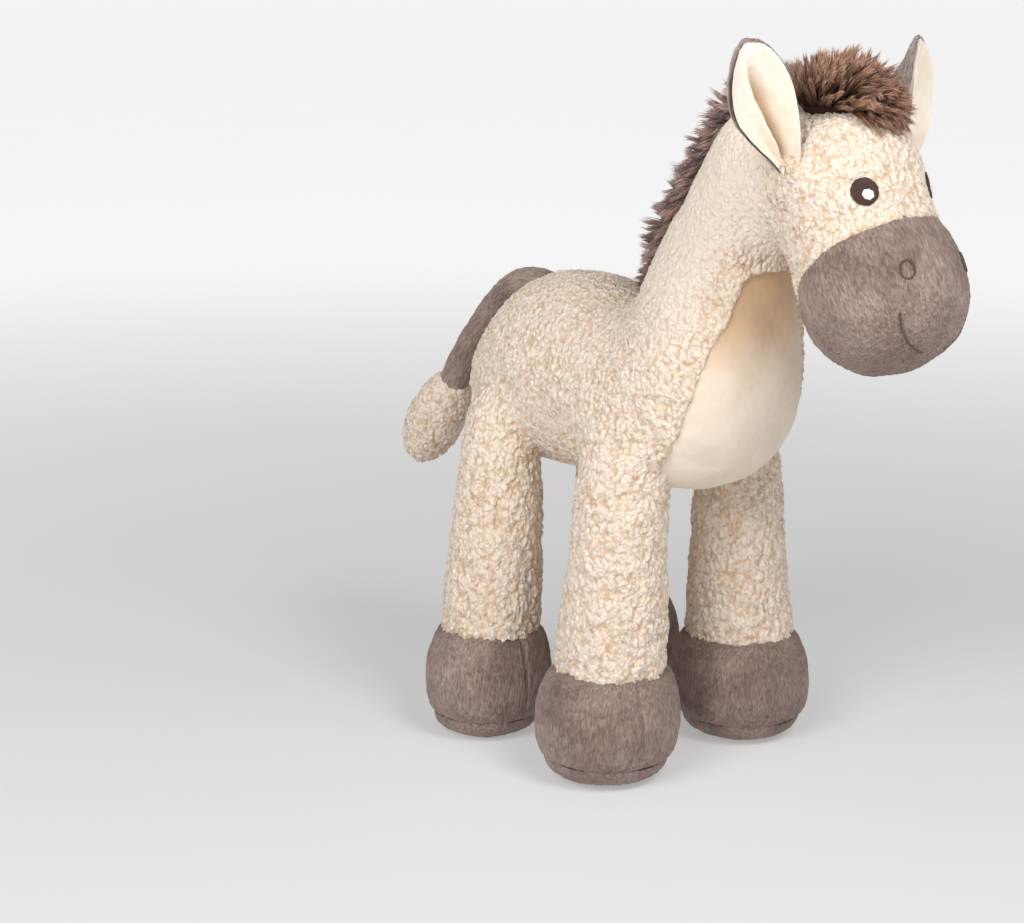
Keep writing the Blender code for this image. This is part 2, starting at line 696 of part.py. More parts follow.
def make_head():
    rooms = [cutter("neck_room", neck_clearance())]
    rooms += [cutter("ear_room_" + name, ear_clearance(side)) for name, side in SIDES]
    cover = piece("head_cover", head_form(HEAD_COLUMNS), CREAM_SHERPA, HEAD)
    combine(thicken(cover, COVER_WALL), rooms + [cutter("above_muzzle", muzzle_prism(SEAM_GAP / 2))])
    muzzle = piece("muzzle_cover", head_form(HEAD_COLUMNS), TAUPE_MINKY, HEAD)
    combine(thicken(muzzle, COVER_WALL), rooms[:1])
    combine(muzzle, [cutter("muzzle_outline", muzzle_prism(-SEAM_GAP / 2))], "INTERSECT")
    inner = grown(head_form(STUFFING_COLUMNS, 1), -COVER_WALL - STUFFING_GAP)
    combine(piece("head_stuffing", inner, WHITE_FIBRE, HEAD), rooms)

    surface = cutter("head_surface", grown(head_form(HEAD_COLUMNS), SEAM_GAP))
    tuft = bmesh.new()
    bmesh.ops.create_uvsphere(tuft, u_segments=FORELOCK_COLUMNS, v_segments=FORELOCK_COLUMNS // 2, radius=1)
    size = Vector((FORELOCK_HALF_LENGTH, FORELOCK_HALF_WIDTH, FORELOCK_HALF_HEIGHT))
    bmesh.ops.scale(tuft, vec=size, verts=tuft.verts)
    bmesh.ops.translate(tuft, vec=HEAD_CENTRE + HEAD_RADIUS * Vector(FORELOCK_SHARES), verts=tuft.verts)
    combine(piece("forelock", tuft, BROWN_PILE, HEAD), [surface] + rooms)

    for name, side in SIDES:
        gaze = face_direction(EYE_TURN, EYE_TILT, side)
        place = face_place(HEAD_CENTRE, gaze)
        stitched_disc("eye_" + name, stitch_prism(place, gaze, EYE_RADIUS),
                      SEAM_GAP, STITCH_THICKNESS, BROWN_THREAD)
        shift = Vector((math.sin(EYE_TURN), -side * math.cos(EYE_TURN), -1)).normalized() * HIGHLIGHT_ASIDE
        stitched_disc("eye_highlight_" + name, stitch_prism(place + shift, gaze, HIGHLIGHT_RADIUS),
                      2 * SEAM_GAP + STITCH_THICKNESS, STITCH_THICKNESS / 2, WHITE_THREAD)
        sniff = face_direction(NOSTRIL_TURN, NOSTRIL_TILT, side)
        ring = thread_ring(face_place(MUZZLE_CENTRE, sniff) + THREAD_RADIUS / 2 * sniff, sniff)
        combine(piece("nostril_" + name, ring, BROWN_THREAD, HEAD), [surface])
    combine(piece("mouth", thread_line(smile_points()), BROWN_THREAD, HEAD), [surface])


def make_ear(name, side, carrier):
    outer = piece("ear_outer_" + name, ear_leaf(side, 0), TAUPE_MINKY, carrier)
    thicken(outer, EAR_WALL, -1)
    inner = piece("ear_inner_" + name, ear_leaf(side, SEAM_GAP), CREAM_PILE, carrier)
    thicken(inner, EAR_WALL, 1)


def make_tail(tail, tuft):
    rings, start, end = tail_rings(TAIL_COLUMNS, 1, TAIL_RADIUS)
    cover = piece("tail_cover", skin(rings, None, end), TAUPE_MINKY, tail)
    thicken(cover, TAIL_WALL)
    inner, start, end = tail_rings(TAIL_COLUMNS, 1, TAIL_RADIUS - TAIL_WALL - STUFFING_GAP)
    piece("tail_stuffing", skin(inner, start, end), WHITE_FIBRE, tail)

    around = tail_rings(TAIL_COLUMNS, 1, clearing(TAIL_RADIUS, JOINT_GAP))[0][-TAIL_END_RINGS:]
    room = cutter("tail_end_room", tail_clearance(TAIL_END, around, (-TUFT_FLEX, 0, TUFT_FLEX)))
    cover = piece("tuft_cover", tuft_form(TUFT_COLUMNS, 1), CREAM_SHERPA, tuft)
    combine(thicken(cover, COVER_WALL), [room])
    inner = grown(tuft_form(TAIL_COLUMNS, 1), -COVER_WALL - STUFFING_GAP)
    combine(piece("tuft_stuffing", inner, WHITE_FIBRE, tuft), [room])


def make_leg(place, hip, sizes, carrier):
    shell = []
    cloths = (("leg_sleeve", CREAM_SHERPA), ("hoof_upper", TAUPE_MINKY), ("hoof_sole", TAUPE_MINKY))
    for name, colour in cloths:
        made = piece(name + "_" + place, leg_form(hip, sizes, LEG_COLUMNS, 1), colour, carrier)
        shell.append(thicken(made, COVER_WALL))
    sleeve, upper, sole = shell
    combine(sleeve, [SLABS["below_hoof_seam"]])
    combine(upper, [SLABS["above_hoof_seam"], SLABS["below_sole_seam"]])
    combine(sole, [SLABS["above_sole_seam"], SLABS["floor"]])
    inner = grown(leg_form(hip, sizes, LEG_STUFFING_COLUMNS, 1), -COVER_WALL - STUFFING_GAP)
    piece("leg_stuffing_" + place, inner, WHITE_FIBRE, carrier)


def slab(name, low, high):
    """A wide flat cutter between two heights."""
    reach = BODY_LENGTH
    return cutter(name, box(Vector((-reach, -reach, low)), Vector((reach, reach, high))))


for leftover in list(bpy.data.objects):
    bpy.data.objects.remove(leftover)
PARTS = bpy.data.collections.new("plush_horse")
CUTTERS = bpy.data.collections.new("cutters")
for collection in (PARTS, CUTTERS):
    bpy.context.scene.collection.children.link(collection)

SIDES = (("right", -1), ("left", 1))
LEG_ENDS = (
    ("front", FRONT_LEG_SHARE * BODY_LENGTH,
     (FRONT_HIP_RADIUS, FRONT_LEG_RADIUS, FRONT_HOOF_RADIUS), (-LEG_SWING_OUT, LEG_SWING_IN)),
    ("rear", REAR_LEG_SHARE * BODY_LENGTH,
     (REAR_HIP_RADIUS, REAR_LEG_RADIUS, REAR_HOOF_RADIUS), (-LEG_SWING_IN, LEG_SWING_OUT)),
)
HIPS = [(f"{end}_{name}", at(along, side * HIP_ASIDE, HIP_HEIGHT), sizes, swing)
        for end, along, sizes, swing in LEG_ENDS for name, side in SIDES]
SLABS = {made.name: made for made in (
    slab("below_hoof_seam", -OVERRUN, HOOF_TOP_HEIGHT + SEAM_GAP / 2),
    slab("above_hoof_seam", HOOF_TOP_HEIGHT - SEAM_GAP / 2, HIP_HEIGHT + OVERRUN),
    slab("below_sole_seam", -OVERRUN, SOLE_SEAM_HEIGHT + SEAM_GAP / 2),
    slab("above_sole_seam", SOLE_SEAM_HEIGHT - SEAM_GAP / 2, HIP_HEIGHT + OVERRUN),
    slab("floor", -OVERRUN, 0),
)}
HEAD = pivot("head_pivot", NECK_TOP)

make_body()
make_mane()
make_head()
for ear_name, ear_side in SIDES:
    make_ear(ear_name, ear_side, pivot("ear_pivot_" + ear_name, ear_frame(ear_side)[0], HEAD))
tail_pivot = pivot("tail_pivot", TAIL_ROOT)
make_tail(tail_pivot, pivot("tuft_pivot", TAIL_END, tail_pivot))
for hip_name, hip_place, hip_sizes, _ in HIPS:
    make_leg(hip_name, hip_place, hip_sizes, pivot("hip_pivot_" + hip_name, hip_place))
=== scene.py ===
"""Looks of the plush horse: curly pile, velour, minky, long-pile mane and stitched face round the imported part.

Every soft piece is a surface worked out on a grid with numpy: rings carried along a path, lifted along their
normals by the pile, the seams and the unevenness of the stuffing. Metres, +Z up, +X towards the nose.
"""
import itertools
import math

import bpy
import numpy as np
from mathutils import Matrix


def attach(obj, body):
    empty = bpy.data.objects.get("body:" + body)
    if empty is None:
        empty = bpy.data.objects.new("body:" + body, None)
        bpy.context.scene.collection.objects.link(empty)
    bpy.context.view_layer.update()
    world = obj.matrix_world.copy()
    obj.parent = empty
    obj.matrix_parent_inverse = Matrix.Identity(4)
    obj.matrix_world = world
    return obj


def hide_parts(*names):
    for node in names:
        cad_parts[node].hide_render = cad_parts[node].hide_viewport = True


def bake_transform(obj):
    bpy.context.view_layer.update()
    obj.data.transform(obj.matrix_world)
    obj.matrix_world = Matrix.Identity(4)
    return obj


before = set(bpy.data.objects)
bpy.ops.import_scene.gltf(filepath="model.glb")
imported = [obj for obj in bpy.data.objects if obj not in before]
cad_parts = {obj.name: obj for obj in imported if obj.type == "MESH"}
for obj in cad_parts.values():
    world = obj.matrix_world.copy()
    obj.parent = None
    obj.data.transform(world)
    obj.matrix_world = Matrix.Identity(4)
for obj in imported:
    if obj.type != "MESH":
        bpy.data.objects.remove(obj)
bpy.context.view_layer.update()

# The part's own sizes
FOOTPRINT_BACK = 0.0298
BODY_LENGTH = 0.215
BODY_DEPTH = 0.105
BODY_HALF_WIDTH = 0.052
NECK_BALL_RADIUS = 0.034
NECK_LEAN = math.radians(56)
HEAD_AHEAD_OF_NECK = 0.038
HEAD_BELOW_NECK = 0.009
HEAD_RADIUS = 0.0395
HEAD_LENGTH = 0.1325
HEAD_DROOP = math.radians(60)
MUZZLE_SEAM_SLOPE = math.radians(49)
MUZZLE_SEAM_BOW_RADIUS = 0.14
EYE_RADIUS = 0.0067
HIGHLIGHT_RADIUS = 0.0026
NOSTRIL_RADIUS = 0.0040
HIP_HEIGHT = 0.166
HIP_ASIDE = 0.827 * BODY_HALF_WIDTH
HOOF_ASIDE = 0.052
HOOF_TOP_HEIGHT = 0.059
SOLE_SEAM_HEIGHT = 0.012
TAIL_RADIUS = 0.0083
TAIL_DROP = 0.070
TAIL_REACH = 0.081
TUFT_LENGTH = 0.064
TUFT_RADIUS = 0.0158
TUFT_OVERLAP = 0.004
TUFT_SLOPE = math.radians(57)
EAR_LENGTH = 0.0645
EAR_HALF_WIDTH = 0.0190
EAR_CUP_DEPTH = 0.0100
EAR_LEAN = math.radians(26)
EAR_FACING = math.radians(74)
MANE_HALF_WIDTH = 0.0095
MANE_RISE = 0.0155
MANE_SINK = 0.004
FORELOCK_HALF_SIZES = (0.037, 0.024, 0.027)

# Pile and seams
CURL = 0.0034
CURL_HEIGHT = 0.0019
CURL_SINK = 0.0011
FINE_CURL = 0.0020
FINE_CURL_HEIGHT = 0.0005
UNEVEN = 0.030
UNEVEN_HEIGHT = 0.0011
SEAM_TUCK = 0.0034
SEAM_ROLL = 0.0026
SEAM_STEP = 0.0016
SEAM_OVERLAP = 0.004
# How much of the pile's share the colour keeps at a seam; less gives painted shade along it
SEAM_SHADE_PILE_SHARE = 0.55
VELOUR_TUCK = 0.0022
VELOUR_ROOT = (0.0002, 0.0040)
HIDDEN_SINK = 0.0018
CLOTH_WALL = 0.0012
NAP = 0.0014
NAP_HEIGHT = 0.00038
OUTER_JOIN = 0.016
INNER_JOIN = 0.005
NECK_JOIN = 0.014
MANE_STRANDS = 7600
MANE_STRAND_WIDTH = 0.00036
MANE_LOCK = 26
FORELOCK_STRANDS = 7600
FORELOCK_STRAND_WIDTH = 0.00042
FORELOCK_LOCK = 34

BODY_STATION_SHARES = (
    (-0.392, 0.371, -0.39, 0.1, 0.34, 0),
    (-0.352, 0.51, -0.345, -0.052, 0.62, 0),
    (-0.282, 0.662, -0.262, -0.143, 0.83, 0.06),
    (-0.19, 0.771, -0.15, -0.176, 0.94, 0.1),
    (-0.07, 0.8, -0.03, -0.183, 1, 0.08),
    (0.046, 0.771, 0.13, -0.186, 1.03, 0.08),
    (0.11, 0.752, 0.3, -0.176, 1.06, 0.12),
    (0.152, 0.764, 0.425, -0.105, 1.04, 0.12),
    (0.178, 0.819, 0.512, 0.074, 0.97, 0.08),
    (0.202, 0.907, 0.555, 0.324, 0.87, 0.04),
    (0.232, 1.033, 0.562, 0.574, 0.77, 0),
    (0.268, 1.169, 0.553, 0.8, 0.68, 0),
    (0.316, 1.312, 0.565, 0.99, 0.62, 0),
    (0.37, 1.479, 0.612, 1.145, 0.63, 0),
)
RUMP_POLE_SHARES = (-0.404, 0.24)
GUSSET_SEAM_SHARES = (
    (0.64, 0.99), (0.535, 0.943), (0.505, 0.705), (0.47, 0.419), (0.42, 0.133), (0.33, -0.069),
    (0.18, -0.124), (0, -0.129), (-0.2, -0.124), (-0.3, -0.152), (-0.42, -0.3),
)
HEAD_STATION_SHARES = (
    (0.0, 0.0), (0.085, 0.70), (0.190, 0.93), (0.300, 0.99), (0.400, 0.96), (0.500, 0.92),
    (0.590, 0.96), (0.700, 1.00), (0.800, 0.95), (0.890, 0.79), (0.960, 0.525), (1.0, 0.0),
)
SLEEVE_STATION_SHARES = ((0.87, 0.885), (0.70, 0.95), (0.55, 1.00), (0.40, 1.05), (0.34, 1.07))
HOOF_STATION_SHARES = ((0.325, 0.87), (0.240, 0.99), (0.150, 1.00), (0.085, 0.92), (0.034, 0.76), (0.006, 0.46))
TAIL_PATH_SHARES = ((0, 0), (0.16, 0.0), (0.345, 0.105), (0.545, 0.295), (0.72, 0.53), (0.88, 0.78), (1, 1))
TUFT_STATION_SHARES = ((0, 0), (0.05, 0.52), (0.16, 0.80), (0.36, 0.98), (0.58, 1.0), (0.78, 0.84), (0.93, 0.50),
                       (1, 0))
EAR_STATION_SHARES = (
    (0.0, 0.38, 0.75), (0.12, 0.60, 1.0), (0.30, 0.88, 1.0), (0.50, 1.0, 0.85),
    (0.70, 0.92, 0.65), (0.85, 0.70, 0.45), (0.95, 0.42, 0.25), (1.0, 0.10, 0.10),
)
MANE_RISE_SHARES = (0.45, 0.80, 1.0, 1.0, 0.95, 1.0, 0.95, 0.90, 0.60)
DOME_TURNS = np.radians((90, 62, 36, 15))
QUARTER_TURN = math.pi / 2
EYE_TURNS = (math.radians(36), math.radians(4))
NOSTRIL_TURNS = (math.radians(34), math.radians(22))
MOUTH_HALF_SPAN = math.radians(39)
MOUTH_ENDS_BELOW = math.radians(6)
MOUTH_DEPTH = math.radians(34)
# Torso, head and two points on the nod, given with the pieces that cross it; a piece given them only has its place
# baked into its mesh
NECK_BEND = ("torso", "head", (0.055, 0, 0.262), (0.092, 0, 0.324))

# The camera, as fitted to the photo: degrees, metres, and lens and centre in pixels of its picture
CAMERA_TURN, CAMERA_ROLL = math.radians(44.755), math.radians(1.403)
CAMERA_AWAY, CAMERA_HEIGHT, LOOK_HEIGHT = 1.1777, 0.4259, 0.193
PICTURE_WIDTH, PICTURE_HEIGHT = 1024, 923
LENS_PIXELS, CENTRE_ACROSS, CENTRE_DOWN = 2274.1, 648.26, 390.03
SENSOR_WIDTH = 36


def unit(rows):
    """Each row of numbers divided by its length."""
    return rows / np.linalg.norm(rows, axis=-1, keepdims=True)


def at(along, aside, up):
    """A point, from the middle of the hooves on the floor."""
    return np.array((along - FOOTPRINT_BACK, aside, up))


def on_body(along, up):
    """A point in the middle plane, in shares of the body's length and depth."""
    return at(along * BODY_LENGTH, 0, HIP_HEIGHT + up * BODY_DEPTH)


def turned(angle):
    """The direction in the side view, tilted up from the nose's by the angle."""
    return np.array((math.cos(angle), 0, math.sin(angle)))


NECK_TOP = on_body(0.5581, 1.4762)
NECK_AXIS = turned(NECK_LEAN)
NAPE = turned(NECK_LEAN + QUARTER_TURN)
HEAD_CENTRE = NECK_TOP + (HEAD_AHEAD_OF_NECK, 0, -HEAD_BELOW_NECK)
HEAD_AXIS = turned(-HEAD_DROOP)
BROW = turned(QUARTER_TURN - HEAD_DROOP)
CROWN = HEAD_CENTRE - HEAD_RADIUS * HEAD_AXIS
MUZZLE_CENTRE = CROWN + 0.7 * HEAD_LENGTH * HEAD_AXIS
SEAM_POINT = CROWN + 0.55 * HEAD_LENGTH * HEAD_AXIS
TAIL_ROOT = on_body(-0.2233, 0.7333)
TAIL_END = TAIL_ROOT - (TAIL_REACH, 0, TAIL_DROP)
TUFT_AXIS = turned(math.pi + TUFT_SLOPE)
AHEAD, ACROSS, UPWARDS = np.eye(3)
SIDES = (("right", -1), ("left", 1))
LEGS = {}
for end_name, end_along, end_radii in (("front", 0.2605, (0.0205, 0.0258, 0.0365)),
                                       ("rear", -0.1767, (0.0195, 0.0240, 0.0330))):
    for side_name, side in SIDES:
        LEGS[f"{end_name}_{side_name}"] = (at(end_along * BODY_LENGTH, side * HIP_ASIDE, HIP_HEIGHT), end_radii)


# Noise

def scatter(cells, seed):
    """A number from 0 to 1 for each whole-number cell: its coordinates times large primes, mixed by shifts."""
    c = cells.astype(np.int64)
    mixed = (c[..., 0] * 73856093) ^ (c[..., 1] * 19349663) ^ (c[..., 2] * 83492791) ^ (seed * 40503 + 12345)
    mixed = ((mixed ^ (mixed >> 13)) * 1274126177) & 0xFFFFFFFF
    mixed = ((mixed ^ (mixed >> 15)) * 2246822519) & 0xFFFFFFFF
    return ((mixed ^ (mixed >> 16)) & 0xFFFFFF) / 0xFFFFFF


def drift(points, size, seed):
    """Smooth noise from -1 to 1: random values at the corners of cells of that size, mixed by smoothstep."""
    place = points / size
    low = np.floor(place)
    t = place - low
    t = t * t * (3 - 2 * t)
    total = np.zeros(points.shape[:-1])
    for corner in itertools.product((0, 1), repeat=3):
        weight = np.prod(np.where(corner, t, 1 - t), axis=-1)
        total += weight * scatter(low + corner, seed)
    return 2 * total - 1


def puffs(points, size, seed):
    """Round puffs about random points, one in each cell of that size: 1 at the nearest point, falling by
    smoothstep with the distance to it, times a thin crevice where the second nearest is as near as the nearest."""
    place = points / size
    home = np.floor(place)
    nearest = np.full(points.shape[:-1], 9.0)
    second = nearest.copy()
    for offset in itertools.product((-1, 0, 1), repeat=3):
        cell = home + offset
        spot = cell + np.stack([scatter(cell, seed + k) for k in range(3)], -1)
        distance = np.linalg.norm(place - spot, axis=-1)
        second = np.minimum(second, np.maximum(distance, nearest))
        nearest = np.minimum(nearest, distance)
    return (1 - 0.95 * step_up(0.26, 0.98, nearest)) * (0.55 + 0.45 * step_up(0.0, 0.32, second - nearest))


def step_up(low, high, values):
    """0 below low, 1 above high, and smoothstep between them."""
    t = np.clip((values - low) / (high - low), 0, 1)
    return t * t * (3 - 2 * t)


# Grids

def through(rows, steps, first=None, last=None):
    """The rows with steps - 1 more between each two, on a Catmull-Rom curve that first and last rows lead on."""
    rows = np.asarray(rows, float)
    first = 2 * rows[0] - rows[1] if first is None else first
    last = 2 * rows[-1] - rows[-2] if last is None else last
    padded = np.vstack([first, rows, last])
    t = (np.arange(steps) / steps)[None, :, None]
    a, b, c, d = (padded[k:k + len(rows) - 1][:, None] for k in range(4))
    curve = 0.5 * (2 * b + (c - a) * t + (2 * a - 5 * b + 4 * c - d) * t * t + (3 * b - a - 3 * c + d) * t ** 3)
    return np.vstack([curve.reshape(-1, rows.shape[1]), rows[-1:]])


def round_ended(rows, steps):
    """The rows with more between them, on a curve that crosses each pole: past it, a row is the one before it
    with its ring's half-widths turned over."""
    rows = np.array(rows)
    flip = np.array((1, 1, 1, -1, -1, -1, 1))
    return through(rows, steps, rows[1] * flip, rows[-2] * flip)


def evenly(rows, spacing):
    """The rows again, at even steps of the longest way that any point of a ring moves between them."""
    moves = np.diff(rows, axis=0)
    step = np.hypot(np.abs(moves[:, 0]) + np.abs(moves[:, 3]), np.abs(moves[:, 2]) + np.abs(moves[:, 4]))
    reach = np.concatenate([[0], np.cumsum(np.maximum(step, np.abs(moves[:, 5])))])
    count = int(round(reach[-1] / spacing)) + 1
    places = np.linspace(0, reach[-1], count)
    return np.stack([np.interp(places, reach, column) for column in rows.T], 1)


def rings(rows, columns):
    """Rings of points: centre + cos t . up + sin t . (1 - pear . cos t) . width . Y, t going once round.
    A row is centre x, y, z, up x, up z, width, pear."""
    t = np.arange(columns) * (2 * math.pi / columns)
    cx, cy, cz, ux, uz, width, pear = (rows[:, k, None] for k in range(7))
    cos, sin = np.cos(t)[None], np.sin(t)[None]
    return np.stack([cx + cos * ux, cy + sin * (1 - pear * cos) * width, cz + cos * uz], -1)


def normals_of(points):
    """Unit normals of a grid that closes round its columns: the cross product of its two differences."""
    along = np.gradient(points, axis=0)
    across = np.roll(points, -1, 1) - np.roll(points, 1, 1)
    normal = np.cross(along, across)
    for row, nearby in ((0, 1), (-1, -2)):
        if np.ptp(points[row], axis=0).max() < 1e-7:
            normal[row] = normal[nearby].sum(0)
    normal /= np.linalg.norm(normal, axis=-1, keepdims=True) + 1e-30
    middle = points.mean(1, keepdims=True)
    return normal if ((points - middle) * normal).sum() > 0 else -normal


def straightened(rows, columns):
    """The grid as if its path were straight: cos t and sin t times the ring's width, and the way along."""
    t = np.arange(columns) * (2 * math.pi / columns)
    way = np.concatenate([[0], np.cumsum(np.linalg.norm(np.diff(rows[:, :3], axis=0), axis=1)
                                         + np.abs(np.diff(rows[:, 5])))])
    width = rows[:, 5, None]
    return np.stack([np.cos(t) * width, np.sin(t) * width, np.repeat(way[:, None], columns, 1)], -1)


def grid_faces(count, columns, closed=True):
    """Four corners of each cell between neighbouring rows, by vertex number."""
    row, column = np.meshgrid(np.arange(count - 1), np.arange(columns if closed else columns - 1), indexing="ij")
    here, there = row * columns + column, row * columns + (column + 1) % columns
    return np.stack([here, there, there + columns, here + columns], -1).reshape(-1, 4)


def outward(points, normals, faces):
    """The faces, turned round where their own normals run against the surface's."""
    a, b, c, d = (points[faces[:, k]] for k in range(4))
    own = np.cross(c - a, d - b)
    given = normals[faces[:, 0]] + normals[faces[:, 2]]
    return faces if (own * given).sum() > 0 else faces[:, ::-1]


def surface(points):
    """A grid's points and normals as two long rows, and its faces turned outwards."""
    flat, out = points.reshape(-1, 3), normals_of(points).reshape(-1, 3)
    return flat, out, outward(flat, out, grid_faces(*points.shape[:2]))


def placed(name, data):
    """A new object in the scene, at the origin."""
    made = bpy.data.objects.new(name, data)
    bpy.context.scene.collection.objects.link(made)
    return made


def mesh_piece(name, points, faces, material, values=None):
    """A piece from points, four-cornered faces and named values; corners at one place are merged."""
    mesh = bpy.data.meshes.new(name)
    points = np.ascontiguousarray(points, float)
    used = np.unique(faces)
    rounded = np.round(points[used] * 1e7).astype(np.int64)
    _, kept, place = np.unique(rounded, axis=0, return_index=True, return_inverse=True)
    number = np.zeros(len(points), np.int64)
    number[used] = place.reshape(-1)
    faces = number[faces]
    double = [faces[:, k] == faces[:, (k + 1) % 4] for k in range(4)]
    doubles = sum(mark.astype(int) for mark in double)
    quads = faces[doubles == 0].tolist()
    corners = []
    for k in range(4):
        found = faces[(doubles == 1) & double[k]]
        corners += found[:, [(k + 1) % 4, (k + 2) % 4, (k + 3) % 4]].tolist()
    mesh.from_pydata(points[used][kept].tolist(), [], quads + corners)
    for title, value in (values or {}).items():
        value = np.asarray(value, np.float32).reshape(len(points), -1)[used][kept]
        kind = "FLOAT" if value.shape[1] == 1 else "FLOAT_VECTOR"
        layer = mesh.attributes.new(title, kind, "POINT")
        layer.data.foreach_set("value" if kind == "FLOAT" else "vector", value.ravel())
    mesh.shade_smooth()
    mesh.materials.append(material)
    return placed(name, mesh)


def walled(points, normals, faces, wall):
    """A closed sheet: the faces, the same faces set in by the wall and turned round, and a rim between them."""
    edges = np.concatenate([faces[:, [k, (k + 1) % 4]] for k in range(4)])
    edges = edges[edges[:, 0] != edges[:, 1]]
    key = np.sort(edges, axis=1)
    _, index, count = np.unique(key, axis=0, return_index=True, return_counts=True)
    rim = edges[index[count == 1]]
    size = len(points)
    sides = np.stack([rim[:, 1], rim[:, 0], rim[:, 0] + size, rim[:, 1] + size], 1)
    return np.vstack([points, points - wall * normals]), np.vstack([faces, faces[:, ::-1] + size, sides])


def declare(made, nodes, body=None, blend=None):
    """Hides the CAD nodes that a piece stands for, then bakes its place into its mesh if a blend is given, or else
    hangs it under the empty of the body that moves it.
    """
    if nodes:
        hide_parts(*nodes)
    if blend:
        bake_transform(made)
    else:
        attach(made, body)
    return made


# Materials

def finish(name, roughness, sheen=0.0, sheen_roughness=0.5, tint=(1, 1, 1), through_light=0.0):
    """A material with its shader's even values set, and a helper that adds and links nodes."""
    material = bpy.data.materials.new(name)
    material.use_nodes = True
    tree = material.node_tree
    shader = tree.nodes["Principled BSDF"]
    shader.inputs["Roughness"].default_value = roughness
    shader.inputs["Specular IOR Level"].default_value = 0.2
    shader.inputs["Sheen Weight"].default_value = sheen
    shader.inputs["Sheen Roughness"].default_value = sheen_roughness
    shader.inputs["Sheen Tint"].default_value = (*tint, 1)
    shader.inputs["Subsurface Weight"].default_value = through_light
    shader.inputs["Subsurface Scale"].default_value = 0.004
    shader.inputs["Subsurface Radius"].default_value = (1.0, 0.6, 0.4)

    def add(kind, settings=None, **inputs):
        """A node with its settings; an input is given by its name, or as i0, i1 by its number."""
        node = tree.nodes.new(kind)
        for key, value in (settings or {}).items():
            setattr(node, key, value)
        for key, value in inputs.items():
            numbered = key[0] == "i" and key[1:].isdigit()
            socket = node.inputs[int(key[1:]) if numbered else key.replace("_", " ")]
            if hasattr(value, "is_output"):
                tree.links.new(value, socket)
            else:
                socket.default_value = value
        return node

    return material, tree, shader, add


def ramp(add, value, stops):
    """A colour ramp through the stops of place and colour."""
    node = add("ShaderNodeValToRGB", Fac=value)
    line = node.color_ramp
    while len(line.elements) < len(stops):
        line.elements.new(0.5)
    for element, (place, colour) in zip(line.elements, stops):
        element.position = place
        element.color = (*colour, 1)
    return node.outputs["Color"]


def noise(add, place, scale, detail=2.0, roughness=0.55, distortion=0.0):
    """Noise from 0 to 1, its cells 1 / scale metres wide."""
    return add("ShaderNodeTexNoise", Vector=place, Scale=scale, Detail=detail, Roughness=roughness,
               Distortion=distortion).outputs["Fac"]


def mixed(add, kind, share, a, b):
    """Two colours mixed by a share."""
    node = add("ShaderNodeMix", {"data_type": "RGBA", "blend_type": kind})
    tree = node.id_data
    for number, value in ((0, share), (6, a), (7, b)):
        if hasattr(value, "is_output"):
            tree.links.new(value, node.inputs[number])
        else:
            node.inputs[number].default_value = value
    return node.outputs[2]


def grey(add, value, low, high):
    """A value from 0 to 1 as a grey between low and high, for a colour to be multiplied by."""
    return ramp(add, value, ((0.25, (low,) * 3), (0.75, (high,) * 3)))


def bumped(add, tree, shader, heights):
    """Bumps one on another: each a height, a strength and a depth in metres."""
    normal = None
    for height, strength, depth in heights:
        node = add("ShaderNodeBump", Height=height, Strength=strength, Distance=depth)
        if normal is not None:
            tree.links.new(normal, node.inputs["Normal"])
        normal = node.outputs["Normal"]
    tree.links.new(normal, shader.inputs["Normal"])


def sherpa_material(name, crevice, middle, top):
    """Curly pile with painted shade: warmer and darker between the curls, by the height of the pile, and darker
    between loops of fine wool, which is faint where the pile is calm."""
    material, tree, shader, add = finish(name, 0.95, 0.30, 0.6, (1.0, 0.93, 0.86), 0.06)
    place = add("ShaderNodeTexCoord").outputs["Object"]
    pile = add("ShaderNodeAttribute", {"attribute_name": "pile"}).outputs["Fac"]
    swirl = add("ShaderNodeTexNoise", Vector=place, Scale=260, Detail=1.0).outputs["Color"]
    drawn = add("ShaderNodeVectorMath", {"operation": "MULTIPLY_ADD"}, i0=swirl, i1=(0.0036,) * 3, i2=place)
    drawn = add("ShaderNodeVectorMath", {"operation": "MULTIPLY"}, i0=drawn.outputs["Vector"], i1=(1.0, 1.0, 0.78))
    cells = add("ShaderNodeTexVoronoi", {"feature": "F1"}, Vector=drawn.outputs["Vector"], Scale=425)
    loops = cells.outputs["Distance"]
    wool = noise(add, place, 1100, 3, 0.7, 1.0)
    # Painted shade: the low-pile colour, warmer and darker, stands for the shade between the curls and at the
    # seams.
    colour = ramp(add, pile, ((0.0, crevice), (0.34, middle), (0.75, top)))
    calm = add("ShaderNodeAttribute", {"attribute_name": "calm"}).outputs["Fac"]
    curly = add("ShaderNodeMapRange", Value=calm, To_Min=1.0, To_Max=0.25).outputs["Result"]
    # Painted shade in the narrow crevices between the loops, faint where the pile is calm.
    between = ramp(add, loops, ((0.46, (1.0,) * 3), (0.82, (0.80, 0.68, 0.55))))
    colour = mixed(add, "MULTIPLY", curly, colour, between)
    colour = mixed(add, "MULTIPLY", 1.0, colour, grey(add, wool, 0.94, 1.03))
    tree.links.new(colour, shader.inputs["Base Color"])
    lumps = add("ShaderNodeMath", {"operation": "SUBTRACT"}, i0=1.0, i1=loops).outputs["Value"]
    bumped(add, tree, shader, ((lumps, 0.9, 0.0016), (wool, 0.5, 0.0005)))
    return material


